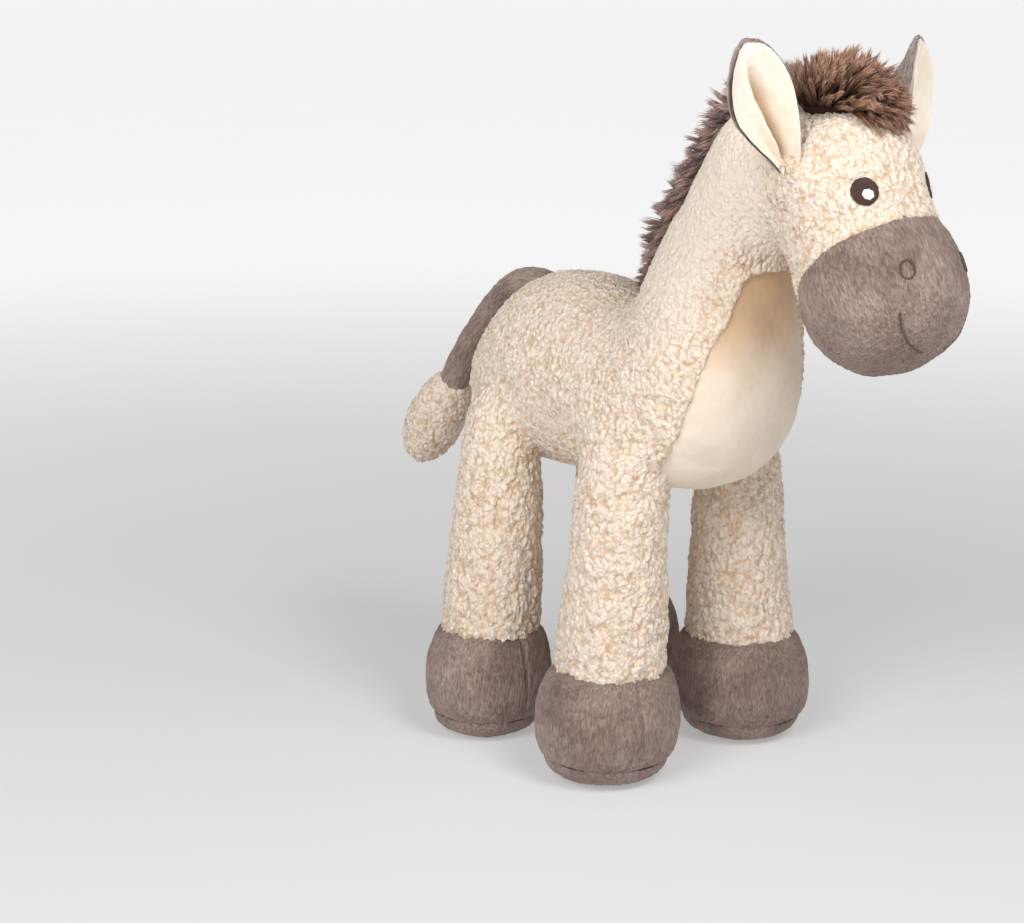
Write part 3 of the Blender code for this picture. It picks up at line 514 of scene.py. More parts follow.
def velour_material(name, shade, light):
    """Smooth short velour: soft patches where the nap lies another way, and a fine grain. Where a value on the
    surface asks for it, painted shade darkens it.
    """
    material, tree, shader, add = finish(name, 0.85, 0.45, 0.4, (1.0, 0.95, 0.88), 0.1)
    place = add("ShaderNodeTexCoord").outputs["Object"]
    nap = noise(add, place, 36, 3, 0.6, 0.6)
    colour = ramp(add, nap, ((0.32, shade), (0.68, light)))
    # Painted shade: the colour is darkened where the surface's value is high, under the head at the throat and in
    # the ear's crease.
    fold = add("ShaderNodeAttribute", {"attribute_name": "fold"}).outputs["Fac"]
    colour = mixed(add, "MULTIPLY", 1.0, colour, ramp(add, fold, ((0.0, (1, 1, 1)), (1.0, (0.71, 0.565, 0.41)))))
    grain = noise(add, place, 1500, 2, 0.7)
    colour = mixed(add, "MULTIPLY", 1.0, colour, grey(add, grain, 0.95, 1.03))
    tree.links.new(colour, shader.inputs["Base Color"])
    bumped(add, tree, shader, ((grain, 0.25, 0.0002), (noise(add, place, 120, 2), 0.25, 0.0006)))
    return material


def minky_material(name, dark, middle, light):
    """Plush minky: streaks that run with the nap, over mottled patches where it is brushed dark or light. Both are
    partly the nap's own uneven tone and partly painted sheen and shade.
    """
    material, tree, shader, add = finish(name, 0.82, 0.32, 0.35, (0.92, 0.78, 0.70))
    lie = add("ShaderNodeAttribute", {"attribute_name": "lie"}).outputs["Vector"]
    long_way = add("ShaderNodeMapping", Vector=lie, Scale=(1.0, 1.0, 0.28)).outputs["Vector"]
    place = add("ShaderNodeTexCoord").outputs["Object"]
    patches = noise(add, place, 42, 3, 0.6, 0.3)
    streaks = noise(add, long_way, 820, 3, 0.6, 0.4)
    fine = noise(add, long_way, 1500, 2, 0.6)
    # Partly painted sheen and shade: the patches and streaks lighten and darken the colour as the nap would catch
    # light.
    colour = ramp(add, patches, ((0.30, dark), (0.50, middle), (0.74, light)))
    colour = mixed(add, "MULTIPLY", 1.0, colour, ramp(add, streaks, ((0.36, (0.70,) * 3), (0.66, (1.34,) * 3))))
    colour = mixed(add, "MULTIPLY", 1.0, colour, grey(add, fine, 0.86, 1.10))
    tree.links.new(colour, shader.inputs["Base Color"])
    bumped(add, tree, shader, ((streaks, 1.0, 0.0012), (fine, 0.4, 0.0003)))
    return material


def strand_material(name, root, middle, tip):
    """Long pile: dark at the root and lighter at the tip, each lock a little different."""
    material, tree, shader, add = finish(name, 0.75, 0.12, 0.4, (0.85, 0.65, 0.55))
    height = add("ShaderNodeAttribute", {"attribute_name": "tip"}).outputs["Fac"]
    tone = add("ShaderNodeAttribute", {"attribute_name": "tone"}).outputs["Fac"]
    colour = ramp(add, height, ((0.0, root), (0.55, middle), (1.0, tip)))
    colour = mixed(add, "MULTIPLY", 1.0, colour, ramp(add, tone, ((0.0, (0.42,) * 3), (1.0, (1.50,) * 3))))
    tree.links.new(colour, shader.inputs["Base Color"])
    return material


def thread_material(name, shade, light):
    """Embroidery thread: a slight sheen, with fine lines along the stitches."""
    material, tree, shader, add = finish(name, 0.5, 0.25, 0.3)
    place = add("ShaderNodeTexCoord").outputs["Object"]
    fibre = noise(add, place, 1800, 2, 0.6)
    tree.links.new(ramp(add, fibre, ((0.3, shade), (0.7, light))), shader.inputs["Base Color"])
    bumped(add, tree, shader, ((fibre, 0.4, 0.0002),))
    return material


# The sherpa's first colour is painted shade between the curls.
SHERPA = sherpa_material("cream_sherpa", (0.66, 0.485, 0.335), (0.865, 0.715, 0.575), (0.905, 0.775, 0.66))
VELOUR = velour_material("cream_velour", (0.81, 0.67, 0.53), (0.89, 0.76, 0.635))
MINKY = minky_material("taupe_minky", (0.200, 0.138, 0.116), (0.282, 0.203, 0.174), (0.375, 0.285, 0.250))
EAR_MINKY = minky_material("ear_minky", (0.34, 0.275, 0.255), (0.40, 0.335, 0.315), (0.46, 0.39, 0.37))
EAR_PILE = velour_material("cream_short_pile", (0.82, 0.70, 0.565), (0.90, 0.815, 0.715))
FORELOCK_PILE = strand_material("forelock_pile", (0.030, 0.009, 0.004), (0.185, 0.083, 0.046), (0.56, 0.34, 0.235))
MANE_PILE = strand_material("mane_pile", (0.115, 0.064, 0.052), (0.29, 0.185, 0.160), (0.52, 0.375, 0.34))
BROWN_THREAD = thread_material("brown_thread", (0.030, 0.014, 0.011), (0.085, 0.045, 0.036))
LINE_THREAD = thread_material("line_thread", (0.075, 0.048, 0.040), (0.14, 0.095, 0.078))
WHITE_THREAD = thread_material("white_thread", (0.78, 0.76, 0.73), (0.93, 0.92, 0.90))


# Heights over the forms

def smooth_join(a, b, reach):
    """The lower of two heights, rounded where they are within the reach of each other."""
    near = np.clip(reach - np.abs(a - b), 0, None) / reach
    return np.minimum(a, b) - near * near * reach / 4


def height_over(points, surface, normals):
    """How far each point stands out of a surface: along the normal of the surface's nearest point."""
    heights = np.empty(len(points))
    own = (surface ** 2).sum(1)
    for low in range(0, len(points), 2000):
        some = points[low:low + 2000]
        nearest = np.argmin(own[None] - 2 * some @ surface.T, axis=1)
        heights[low:low + 2000] = ((some - surface[nearest]) * normals[nearest]).sum(1)
    return heights


def over_leg(points, place):
    """Distance from a leg's axis, which ends at its hip, less the leg's radius at that height."""
    hip, (hip_radius, leg_radius, _) = LEGS[place]
    z = np.clip(points[:, 2], 0, HIP_HEIGHT)
    stations = [(1.0, hip_radius)] + [(share, r * leg_radius) for share, r in SLEEVE_STATION_SHARES]
    shares, radii = np.array(stations[::-1]).T
    radius = np.interp(z / HIP_HEIGHT, shares, radii)
    aside = math.copysign(1, hip[1]) * (HIP_ASIDE + (1 - z / HIP_HEIGHT) * (HOOF_ASIDE - HIP_ASIDE))
    return np.sqrt((points[:, 0] - hip[0]) ** 2 + (points[:, 1] - aside) ** 2 + (points[:, 2] - z) ** 2) - radius


def leg_join(points):
    """How widely a leg's top rounds into the body: little on its inner side, where the seam draws in."""
    return INNER_JOIN + (OUTER_JOIN - INNER_JOIN) * step_up(0.030, 0.054, np.abs(points[:, 1]))


def joined(points, normals, others):
    """The surface moved out along its normals to where it and the others share one rounded surface.
    Each of the others is its height function, how widely it joins, and the ball outside which it is too far."""
    base = points.copy()
    lift = np.zeros(len(points))
    for _ in range(2):
        total = lift.copy()
        for other, reach, middle, radius in others:
            near = np.flatnonzero(((base - middle) ** 2).sum(1) < radius * radius)
            width = reach(points[near]) if callable(reach) else np.full(len(near), reach)
            total[near] = smooth_join(total[near], other(points[near]), width)
        lift = np.clip(lift - total, 0, 0.30 * OUTER_JOIN)
        points = base + lift[:, None] * normals
    return points


def under(points, height, middle, radius=0.075):
    """1 where the points lie inside another form, by its height function, and 0 outside it."""
    share = np.zeros(len(points))
    near = np.flatnonzero(((points - middle) ** 2).sum(1) < radius * radius)
    share[near] = step_up(0.0005, -0.0040, height(points[near]))
    return share


def wool_place(points):
    """Where the pile's noise is read: the curls draw out lengthwise down the legs, and evenly above them."""
    z = points[:, 2]
    span = 0.055
    t = np.clip((z - 0.125) / span, 0, 1)
    slow = 0.60
    run = np.where(z < 0.125, slow * z, slow * 0.125 + span * (slow * t + (1 - slow) * (t ** 3 - t ** 4 / 2)))
    run += np.clip(z - 0.125 - span, 0, None)
    sway = np.stack([0.0016 * drift(points, 0.0060, 31 + k) + 0.0005 * drift(points, 0.0019, 41 + k)
                     for k in range(3)], -1)
    return np.column_stack([points[:, 0], points[:, 1], run]) + sway


def sherpa_height(points, bold=1.0, axis=None, drawn_out=0.0, calm=0.0, size=CURL):
    """Pile in curls: round puffs with crevices between them that deepen and fade, and finer puffs on them.
    Along the axis, where there is one, they are drawn out, and where the pile is calm they fade into an even
    fleece. Also the pile's share, which the material turns into painted shade in the crevices."""
    place = wool_place(points)
    if axis is not None:
        place = place - drawn_out[:, None] * (place @ axis)[:, None] * axis
    curl = puffs(place, size, 5)
    curl = 1 - (1 - curl) * (0.50 + 0.50 * step_up(-0.4, 0.4, drift(points, 0.0065, 6)))
    fine = puffs(place + CURL, FINE_CURL, 11)
    curl = curl + calm * (0.85 - curl) * 0.72
    fine = fine + calm * (0.9 - fine) * 0.25
    lift = CURL_HEIGHT * bold * curl + FINE_CURL_HEIGHT * fine - CURL_SINK
    lift += 0.0004 * drift(points, 0.009, 7) + UNEVEN_HEIGHT * drift(points, UNEVEN, 3)
    share = np.clip(0.70 * curl + 0.30 * fine, 0, 1)
    return lift, share + calm * (0.95 - share) * 0.6


def seam_distance(points, seam):
    """Signed distance in the side view to a line of points: positive on its left as it runs."""
    spot = points[:, [0, 2]]
    best = np.full(len(points), 9.0)
    sign = np.ones(len(points))
    for a, b in zip(seam, seam[1:]):
        run = b - a
        share = np.clip(((spot - a) @ run) / (run @ run), 0, 1)
        away = spot - a - share[:, None] * run
        distance = np.linalg.norm(away, axis=1)
        turn = run[0] * away[:, 1] - run[1] * away[:, 0]
        closer = distance < best - 1e-9
        best = np.where(closer, distance, best)
        sign = np.where(closer, np.sign(turn), sign)
    return best * sign


# Body, neck and belly

def body_grid(columns, spacing):
    """Rump, barrel, chest and neck, with half a ball at the top: each ring spans from back to belly."""
    rows = []
    for back_along, back_up, belly_along, belly_up, width, pear in BODY_STATION_SHARES:
        back, belly = on_body(back_along, back_up), on_body(belly_along, belly_up)
        middle, half = (back + belly) / 2, (back - belly) / 2
        rows.append((*middle, half[0], half[2], width * BODY_HALF_WIDTH, pear))
    rump = on_body(*RUMP_POLE_SHARES)
    rows.insert(0, (*rump, 0, 0, 0, 0))
    for angle in DOME_TURNS:
        middle = NECK_TOP + NECK_BALL_RADIUS * math.cos(angle) * NECK_AXIS
        half = NECK_BALL_RADIUS * math.sin(angle) * NAPE
        rows.append((*middle, half[0], half[2], NECK_BALL_RADIUS * math.sin(angle), 0))
    rows.append((*(NECK_TOP + NECK_BALL_RADIUS * NECK_AXIS), 0, 0, 0, 0))
    rows = evenly(round_ended(rows, 30), spacing)
    points = rings(rows, columns)
    return points, normals_of(points), rows


def head_grid(columns, spacing):
    """The crown ball and the muzzle ball on one axis, drawn in between them: rings square to the axis."""
    rows = []
    for along, radius in HEAD_STATION_SHARES:
        middle = CROWN + along * HEAD_LENGTH * HEAD_AXIS
        half = radius * HEAD_RADIUS * BROW
        rows.append((*middle, half[0], half[2], radius * HEAD_RADIUS, 0))
    rows = evenly(round_ended(rows, 30), spacing)
    points = rings(rows, columns)
    return points, normals_of(points), rows


BODY_COARSE = [part.reshape(-1, 3) for part in body_grid(72, 0.0045)[:2]]
HEAD_COARSE = [part.reshape(-1, 3) for part in head_grid(56, 0.0045)[:2]]


def over_body(points):
    """How far points stand out of the body's coarse form."""
    return height_over(points, *BODY_COARSE)


def over_head(points):
    """How far points stand out of the head's coarse form."""
    return height_over(points, *HEAD_COARSE)


def drawn_in(lift, pile, inside, kept, roll):
    """The pile at a seam: it keeps a share of its height at the edge and rises by the roll, then past the seam
    it drops by smoothstep under the next cloth. The pile's share falls with it, which paints shade along the seam."""
    edge = step_up(0, SEAM_ROLL, -inside)
    lift = lift * (kept + (1 - kept) * edge) + roll * (1 - edge)
    past = step_up(0, SEAM_STEP, inside)
    lift = np.where(inside > 0, lift * (1 - past) - SEAM_TUCK * past, lift)
    return lift, pile * (SEAM_SHADE_PILE_SHARE + (1 - SEAM_SHADE_PILE_SHARE) * edge)


def make_body():
    """The sherpa is the whole body form lifted by its pile, less where a leg hides it, and drawn in past the
    gusset's seam, a line in the side view. The velour is the form's part inside that line, with a wall."""
    points, normals, _ = body_grid(336, 0.00105)
    shape = points.shape[:2]
    flat, out = points.reshape(-1, 3), normals.reshape(-1, 3)
    others = [(lambda p, place=place: over_leg(p, place), leg_join, LEGS[place][0], 0.085) for place in LEGS]
    others.append((over_head, NECK_JOIN, HEAD_CENTRE, 0.075))
    hidden = sum(under(flat, leg, middle) for leg, _, middle, _ in others[:-1])
    flat = joined(flat, out, others)
    out = normals_of(flat.reshape(points.shape)).reshape(-1, 3)
    seam = np.array([on_body(along, up)[[0, 2]] for along, up in GUSSET_SEAM_SHARES])
    seam = through(seam, 6)
    beyond = seam_distance(flat, seam)
    faces = outward(flat, out, grid_faces(*shape))

    inside = beyond + 0.0010 * drift(flat, 0.004, 77)
    up_neck = (flat - on_body(0.36, 0.62)) @ NECK_AXIS
    calm = step_up(-0.012, 0.030, up_neck) * step_up(0.006, 0.022, -inside)
    lift, pile = sherpa_height(flat, calm=calm)
    lift, pile = drawn_in(lift, pile, inside, 0.75, 0.0010)
    lift = lift * (1 - hidden) - HIDDEN_SINK * hidden
    cover = mesh_piece("body_sherpa", flat + lift[:, None] * out, faces, SHERPA, {"pile": pile, "calm": calm})
    declare(cover, ("body_cover", "body_stuffing"), blend=NECK_BEND)

    chosen = faces[(beyond > -SEAM_OVERLAP)[faces].all(1)]
    soft = UNEVEN_HEIGHT * drift(flat, UNEVEN, 3) + 0.0009 * drift(flat, 0.014, 8) + 0.0002 * drift(flat, 0.003, 4)
    soft += 0.0012 * step_up(0.001, 0.012, beyond) - 0.0010
    soft -= VELOUR_TUCK * step_up(*VELOUR_ROOT, -beyond)
    points, chosen = walled(flat + soft[:, None] * out, out, chosen, CLOTH_WALL)
    # Painted shade at the throat, where the head shades the chest.
    throat_shade = step_up(0.190, 0.262, flat[:, 2] + 0.012 * drift(flat, 0.03, 88))
    belly = mesh_piece("belly_velour", points, chosen, VELOUR, {"fold": np.concatenate([throat_shade, throat_shade])})
    declare(belly, ("belly_gusset",), blend=NECK_BEND)


# Head and muzzle

def muzzle_side(points):
    """Signed distance to the drum whose side is the muzzle's seam, positive on the muzzle."""
    middle = (SEAM_POINT + MUZZLE_SEAM_BOW_RADIUS * turned(-MUZZLE_SEAM_SLOPE))[[0, 2]]
    return MUZZLE_SEAM_BOW_RADIUS - np.linalg.norm(points[:, [0, 2]] - middle, axis=1)


def make_head():
    """The sherpa is the head form lifted by its pile, pressed flat round the eyes and drawn in past the muzzle's
    seam. The muzzle is the form's part in front of that seam, lifted by its nap, with a wall."""
    points, normals, rows = head_grid(300, 0.00085)
    shape = points.shape[:2]
    flat, out = points.reshape(-1, 3), normals.reshape(-1, 3)
    flat = joined(flat, out, [(over_body, NECK_JOIN, NECK_TOP - 0.015 * NECK_AXIS, 0.070)])
    out = normals_of(flat.reshape(points.shape)).reshape(-1, 3)
    beyond = muzzle_side(flat)
    faces = outward(flat, out, grid_faces(*shape))
    lie = straightened(rows, shape[1]).reshape(-1, 3)

    inside = beyond + 0.0005 * drift(flat, 0.004, 78)
    from_neck = np.linalg.norm(flat - NECK_TOP, axis=1)
    calm = 0.8 * step_up(0.046, 0.030, from_neck)
    lift, pile = sherpa_height(flat, 1.0, HEAD_AXIS, 0.55 * step_up(0.040, 0.066, from_neck), calm)
    lift, pile = drawn_in(lift, pile, inside, 0.70, 0.0006)
    for _, side in SIDES:
        gaze = face_direction(*EYE_TURNS, side)
        aside = np.linalg.norm(flat - HEAD_CENTRE - reach_of(HEAD_CENTRE, gaze) * gaze, axis=1)
        free = step_up(EYE_RADIUS * 0.96, EYE_RADIUS * 1.45, aside)
        lift = lift * free - 0.0002 * (1 - free)
    cover = mesh_piece("head_sherpa", flat + lift[:, None] * out, faces, SHERPA, {"pile": pile, "calm": calm})
    declare(cover, ("head_cover", "head_stuffing"), "head")

    chosen = faces[(beyond > -SEAM_OVERLAP)[faces].all(1)]
    soft = nap_height(lie, flat) + 0.0010 * step_up(0.001, 0.009, beyond)
    soft -= VELOUR_TUCK * step_up(*VELOUR_ROOT, -beyond)
    points, chosen = walled(flat + soft[:, None] * out, out, chosen, CLOTH_WALL)
    muzzle = mesh_piece("muzzle_minky", points, chosen, MINKY, {"lie": np.vstack([lie, lie])})
    declare(muzzle, ("muzzle_cover",), "head")


def nap_height(lie, points):
    """Short plush pile: streaks drawn out along the nap over a soft unevenness."""
    streaks = drift(lie * (1, 1, 0.35), NAP, 21) + 0.6 * drift(lie * (1, 1, 0.4), NAP / 2, 22)
    return NAP_HEIGHT * streaks + 0.0005 * drift(points, 0.011, 23)


# Legs and hooves

def leg_rows(place, stations, steps=16):
    """Level rings down a leg: height as a share of the hip's, and radius."""
    hip = LEGS[place][0]
    stations = np.array(stations, float)
    aside = math.copysign(1, hip[1]) * (HIP_ASIDE + (1 - stations[:, 0]) * (HOOF_ASIDE - HIP_ASIDE))
    height, radius = stations[:, 0] * HIP_HEIGHT, stations[:, 1]
    rows = np.column_stack([np.full(len(stations), hip[0]), aside, height, radius, 0 * radius, radius, 0 * radius])
    return through(rows, steps)


def ends_closed(rows, steps=10):
    """The rows with a flat disc of rings at each end, down to its middle."""
    shrink = np.linspace(0, 1, steps, endpoint=False)[:, None]
    scale = np.where(np.isin(np.arange(7), (3, 4, 5)), shrink, 1.0)
    return np.vstack([rows[0] * scale, rows, (rows[-1] * scale)[::-1]])


def make_leg(place):
    """Level rings down from a half ball at the hip: a sherpa sleeve whose hem drops in tufts over the hoof, and
    under it the hoof's bulb, in two cloths that draw in where they meet and at the upper's front seam."""
    hip, (hip_radius, leg_radius, hoof_radius) = LEGS[place]
    side = math.copysign(1, hip[1])
    hem = HOOF_TOP_HEIGHT / HIP_HEIGHT
    dome = [(1 + hip_radius * math.sin(a) / HIP_HEIGHT, hip_radius * math.cos(a)) for a in np.radians((86, 60, 30))]
    stations = dome + [(1.0, hip_radius)] + [(share, r * leg_radius) for share, r in SLEEVE_STATION_SHARES]
    hem_radius = 1.07 * leg_radius
    stations += [(hem - 0.006, hem_radius + 0.0006)]
    rows, columns = evenly(ends_closed(leg_rows(place, stations)), 0.00095), 190
    flat, out, faces = surface(rings(rows, columns))
    hidden = under(flat, over_body, hip)
    flat = joined(flat, out, [(over_body, leg_join, hip, 0.075)])
    low = step_up(0.11, 0.07, flat[:, 2])
    lift, pile = sherpa_height(flat, 1.15 + 0.25 * low, size=1.05 * CURL)
    lift = lift * (1 - hidden) - HIDDEN_SINK * hidden
    away = np.hypot(flat[:, 0] - hip[0], flat[:, 1] - side * HOOF_ASIDE)
    tufts = puffs(flat * (1, 1, 0.15), 0.0042, 14)
    drop = step_up(0.068, 0.0585, flat[:, 2])
    flat = flat + lift[:, None] * out
    flat[:, 2] -= drop * (0.0030 * tufts - 0.0008) * step_up(0.010, 0.022, away)
    sleeve = mesh_piece(f"leg_sherpa_{place}", flat, faces, SHERPA, {"pile": pile})
    start, end = hip + 0.006 * UPWARDS, hip - 0.034 * UPWARDS
    declare(sleeve, (f"leg_sleeve_{place}", f"leg_stuffing_{place}"),
            blend=("torso", f"leg_{place}", start, end))

    stations = [(0.40, 0.80 * leg_radius), (0.36, 0.93 * leg_radius)]
    stations += [(share, r * hoof_radius) for share, r in HOOF_STATION_SHARES]
    stations += [(0.0, 0.34 * hoof_radius)]
    rows = leg_rows(place, stations)
    seam = SOLE_SEAM_HEIGHT
    front = {"front_right": -12, "front_left": -42, "rear_right": 0, "rear_left": 0}[place]
    at_seam = np.array([np.interp(seam, rows[::-1, 2], column[::-1]) for column in rows.T])
    overlap = at_seam * (1, 1, 1, 0.985, 0.985, 0.985, 1) + (0, 0, 0.0004, 0, 0, 0, 0)
    for kind, piece_rows in (("upper", np.vstack([rows[rows[:, 2] > seam + 0.0002], at_seam])),
                             ("sole", np.vstack([overlap, at_seam - (0, 0, 0.0001, 0, 0, 0, 0),
                                                 rows[rows[:, 2] < seam - 0.0002]]))):
        piece_rows, columns = evenly(ends_closed(piece_rows), 0.00095), 205
        flat, out, faces = surface(rings(piece_rows, columns))
        lie = straightened(piece_rows, columns).reshape(-1, 3)
        angle = np.arctan2(flat[:, 1] - side * HOOF_ASIDE, flat[:, 0] - hip[0]) - math.radians(front)
        away = np.hypot(flat[:, 0] - hip[0], flat[:, 1] - side * HOOF_ASIDE)
        aside = np.abs((angle + math.pi) % (2 * math.pi) - math.pi) * away
        lift = nap_height(lie, flat)
        up = np.abs(flat[:, 2] - seam)
        lift += 0.0009 * step_up(0.0, 0.005, up) - 0.0003 * np.exp(-(up / 0.0013) ** 2)
        if kind == "upper":
            groove = np.exp(-(aside / 0.0011) ** 2)
            lift -= 0.0013 * groove * step_up(0.010, 0.020, away) * step_up(0.0015, 0.0060, up)
        lift *= step_up(0.004, 0.012, away)
        flat = flat + lift[:, None] * out
        flat[:, 2] = np.maximum(flat[:, 2], 0.0)
        hoof = mesh_piece(f"hoof_{kind}_minky_{place}", flat, faces, MINKY, {"lie": lie})
        declare(hoof, (f"hoof_{kind}_{place}",), f"leg_{place}")


# Tail

def make_tail():
    """The tube is rings square to its path, sunk a little at the root; the tuft is rings square to its axis,
    with the sherpa's pile."""
    path = through(np.array(TAIL_PATH_SHARES, float), 12)
    sunk = 0.0045 * (1 - step_up(0.0, 0.45, path[:, 0]))
    middle = TAIL_ROOT - np.column_stack([path[:, 0] * TAIL_REACH, 0 * path[:, 0], path[:, 1] * TAIL_DROP + sunk])
    run = unit(np.gradient(middle, axis=0))
    up = np.column_stack([run[:, 2], -run[:, 0]])
    radius = np.full(len(middle), TAIL_RADIUS)
    rows = np.column_stack([middle, radius[:, None] * up, radius, 0 * radius])
    rows = evenly(ends_closed(rows), 0.0008)
    columns = 72
    flat, out, faces = surface(rings(rows, columns))
    lie = straightened(rows, columns).reshape(-1, 3)
    lift = nap_height(lie, flat) + 0.0004 * drift(flat, 0.012, 41)
    tube = mesh_piece("tail_minky", flat + lift[:, None] * out, faces, MINKY, {"lie": lie})
    declare(tube, ("tail_cover", "tail_stuffing"),
            blend=("torso", "tail", TAIL_ROOT, TAIL_ROOT - (0.014, 0, 0)))

    start = TAIL_END - TUFT_OVERLAP * TUFT_AXIS
    outwards = turned(math.pi + TUFT_SLOPE - QUARTER_TURN)
    rows = []
    for along, size in TUFT_STATION_SHARES:
        half = size * TUFT_RADIUS * outwards
        rows.append((*(start + along * TUFT_LENGTH * TUFT_AXIS), half[0], half[2], size * TUFT_RADIUS, 0))
    flat, out, faces = surface(rings(evenly(round_ended(rows, 20), 0.0008), 130))
    lift, pile = sherpa_height(flat)
    tuft = mesh_piece("tuft_sherpa", flat + lift[:, None] * out, faces, SHERPA, {"pile": pile})
    declare(tuft, ("tuft_cover", "tuft_stuffing"), "tail_tuft")


# Ears

def ear_frame(side):
    """The ear's root, and its directions up its length, across its width and out of its cup."""
    root = HEAD_CENTRE + HEAD_RADIUS * np.array((-0.177, side * 0.848, 0.329))
    along = np.array((0, side * math.sin(EAR_LEAN), math.cos(EAR_LEAN)))
    facing = np.array((math.sin(EAR_FACING), side * math.cos(EAR_FACING), 0))
    across = unit(np.cross(along, facing))
    return root, along, across, np.cross(across, along)


def ear_leaf(side, low, high, narrow, half_columns=84):
    """A closed leaf: with t going once round, cos t is the place across it, from rim to rim over its front and
    back again over its back, and sin t is the way through it. Its cup deepens with the square of the place
    across, and it bows outwards by a sine along its length. A deep crease runs from its middle down to its front
    edge, a bell curve that is steeper on the rear side, where the cloth swells over it. Its rims roll in, most
    where it is pinched at the root. Also the crease's depth from 0 to 1, which the cream leaf takes for painted
    shade."""
    root, along, across, facing = ear_frame(side)
    rows = through(np.array(EAR_STATION_SHARES, float), 14)
    t = np.linspace(0, 2 * math.pi, 2 * half_columns, endpoint=False)[None]
    share, rim = np.cos(t), np.sin(t)
    length, width, cup = (rows[:, k, None] for k in range(3))
    forward = -side * share
    grown = np.sin(math.pi * np.clip(length, 0, 1)) ** 0.7
    off_fold = forward - 0.40 + 0.52 * length
    valley = np.exp(-(off_fold / np.where(off_fold < 0, 0.10, 0.27)) ** 2) * step_up(0.95, 0.50, length)
    valley = valley * step_up(0.0, 0.12, length)
    swell = np.exp(-((off_fold + 0.26) / 0.17) ** 2) * step_up(0.80, 0.40, length) * step_up(0.0, 0.20, length)
    front_roll = step_up(0.45, 1.0, forward) * grown * (1 - 0.5 * length)
    back_roll = step_up(0.70, 1.0, -forward) * grown
    depth = cup * EAR_CUP_DEPTH * share ** 2 * (0.9 + 0.25 * (forward > 0) * np.abs(forward))
    pinched = step_up(0.62, 0.12, length)
    depth = depth - 0.0070 * valley + 0.0036 * swell + 0.0022 * front_roll + 0.0012 * back_roll
    depth = depth + 0.0040 * pinched * step_up(0.35, 1.0, -forward) ** 1.5
    tip = np.clip(1 - 0.45 * (length - 0.9) / 0.1, 0, 1)
    depth = depth + ((low + high) / 2 + (high - low) / 2 * rim) * np.where(length > 0.9, tip, 1)
    aside = share * width * EAR_HALF_WIDTH * narrow * (1 - 0.16 * pinched)
    aside = aside + side * (0.0030 * front_roll - 0.0012 * back_roll)
    reach = length * EAR_LENGTH * (1 - 0.03 * (narrow < 1)) + 0 * aside
    points = root + reach[..., None] * along + aside[..., None] * across + depth[..., None] * facing
    bow = 0.0030 + 0.0045 * np.sin(math.pi * np.clip(0.10 + 0.90 * length, 0, 1))
    points = points + (bow + 0 * aside)[..., None] * np.array((-0.5, side * 0.86, -0.1))
    ends = [points[k:k + 1].mean(1, keepdims=True).repeat(points.shape[1], 1) for k in (0, len(points) - 1)]
    valley = np.concatenate([valley[:1], valley, valley[-1:]])
    return np.concatenate([ends[0], points, ends[1]]), valley.reshape(-1)


def make_ear(name, side):
    """Two leaves of one form, the cream one lying in the taupe one, both lifted by a fine nap."""
    for kind, low, high, narrow, material, slot in (
            ("outer", -0.0024, 0.0004, 1.0, EAR_MINKY, "taupe_minky"),
            ("inner", 0.0001, 0.0028, 0.945, EAR_PILE, "cream_short_pile")):
        points, valley = ear_leaf(side, low, high, narrow)
        flat, out, faces = surface(points)
        lift = 0.00022 * drift(flat * (1, 1, 0.4), NAP, 51) + 0.0003 * drift(flat, 0.006, 52)
        flat = flat + lift[:, None] * out
        # The crease's depth goes on as a value that darkens the cream leaf: painted shade in the crease. The taupe
        # leaf's material does not read it.
        leaf = mesh_piece(f"ear_{kind}_cloth_{name}", flat, faces, material,
                          {"lie": flat - HEAD_CENTRE, "fold": np.clip(valley, 0, 1) ** 1.5})
        declare(leaf, (f"ear_{kind}_{name}",), f"ear_{name}")


# Mane and forelock

def strands(roots, controls, tips, widths, tones, sides=3, levels=(0.0, 0.42, 0.76)):
    """Thin curved cones: their middle line is root (1-u)^2 + control 2u(1-u) + tip u^2, and the corners round
    it are width (1-u)^0.6 (0.75 + u/2) away, down to nothing at the tip."""
    count = len(roots)
    centres, sizes, heights = [], [], []
    for u in (*levels, 1.0):
        centres.append((1 - u) ** 2 * roots + 2 * u * (1 - u) * controls + u * u * tips)
        sizes.append(widths * (1 - u) ** 0.6 * (0.75 + 0.5 * u) if u < 1 else 0 * widths)
        heights.append(np.full(count, u))
    run = unit(tips - roots)
    helper = np.where(np.abs(run[:, 2:3]) < 0.8, UPWARDS, AHEAD)
    first = unit(np.cross(run, helper))
    second = np.cross(run, first)
    points, tip_values = [], []
    for centre, size, height in zip(centres, sizes, heights):
        for k in range(sides):
            turn = 2 * math.pi * k / sides
            points.append(centre + size[:, None] * (math.cos(turn) * first + math.sin(turn) * second))
            tip_values.append(height)
    points = np.stack(points, 1)
    values = np.stack(tip_values, 1)
    per = points.shape[1]
    cell = grid_faces(len(centres), sides)
    faces = (np.arange(count)[:, None, None] * per + cell[None]).reshape(-1, 4)
    points = points.reshape(-1, 3)
    away = points - np.repeat(centres[0], per, axis=0)
    run = np.repeat(run, per, axis=0)
    faces = outward(points, away - run * (away * run).sum(1, keepdims=True), faces)
    return points, faces, values.reshape(-1), np.repeat(tones, per)


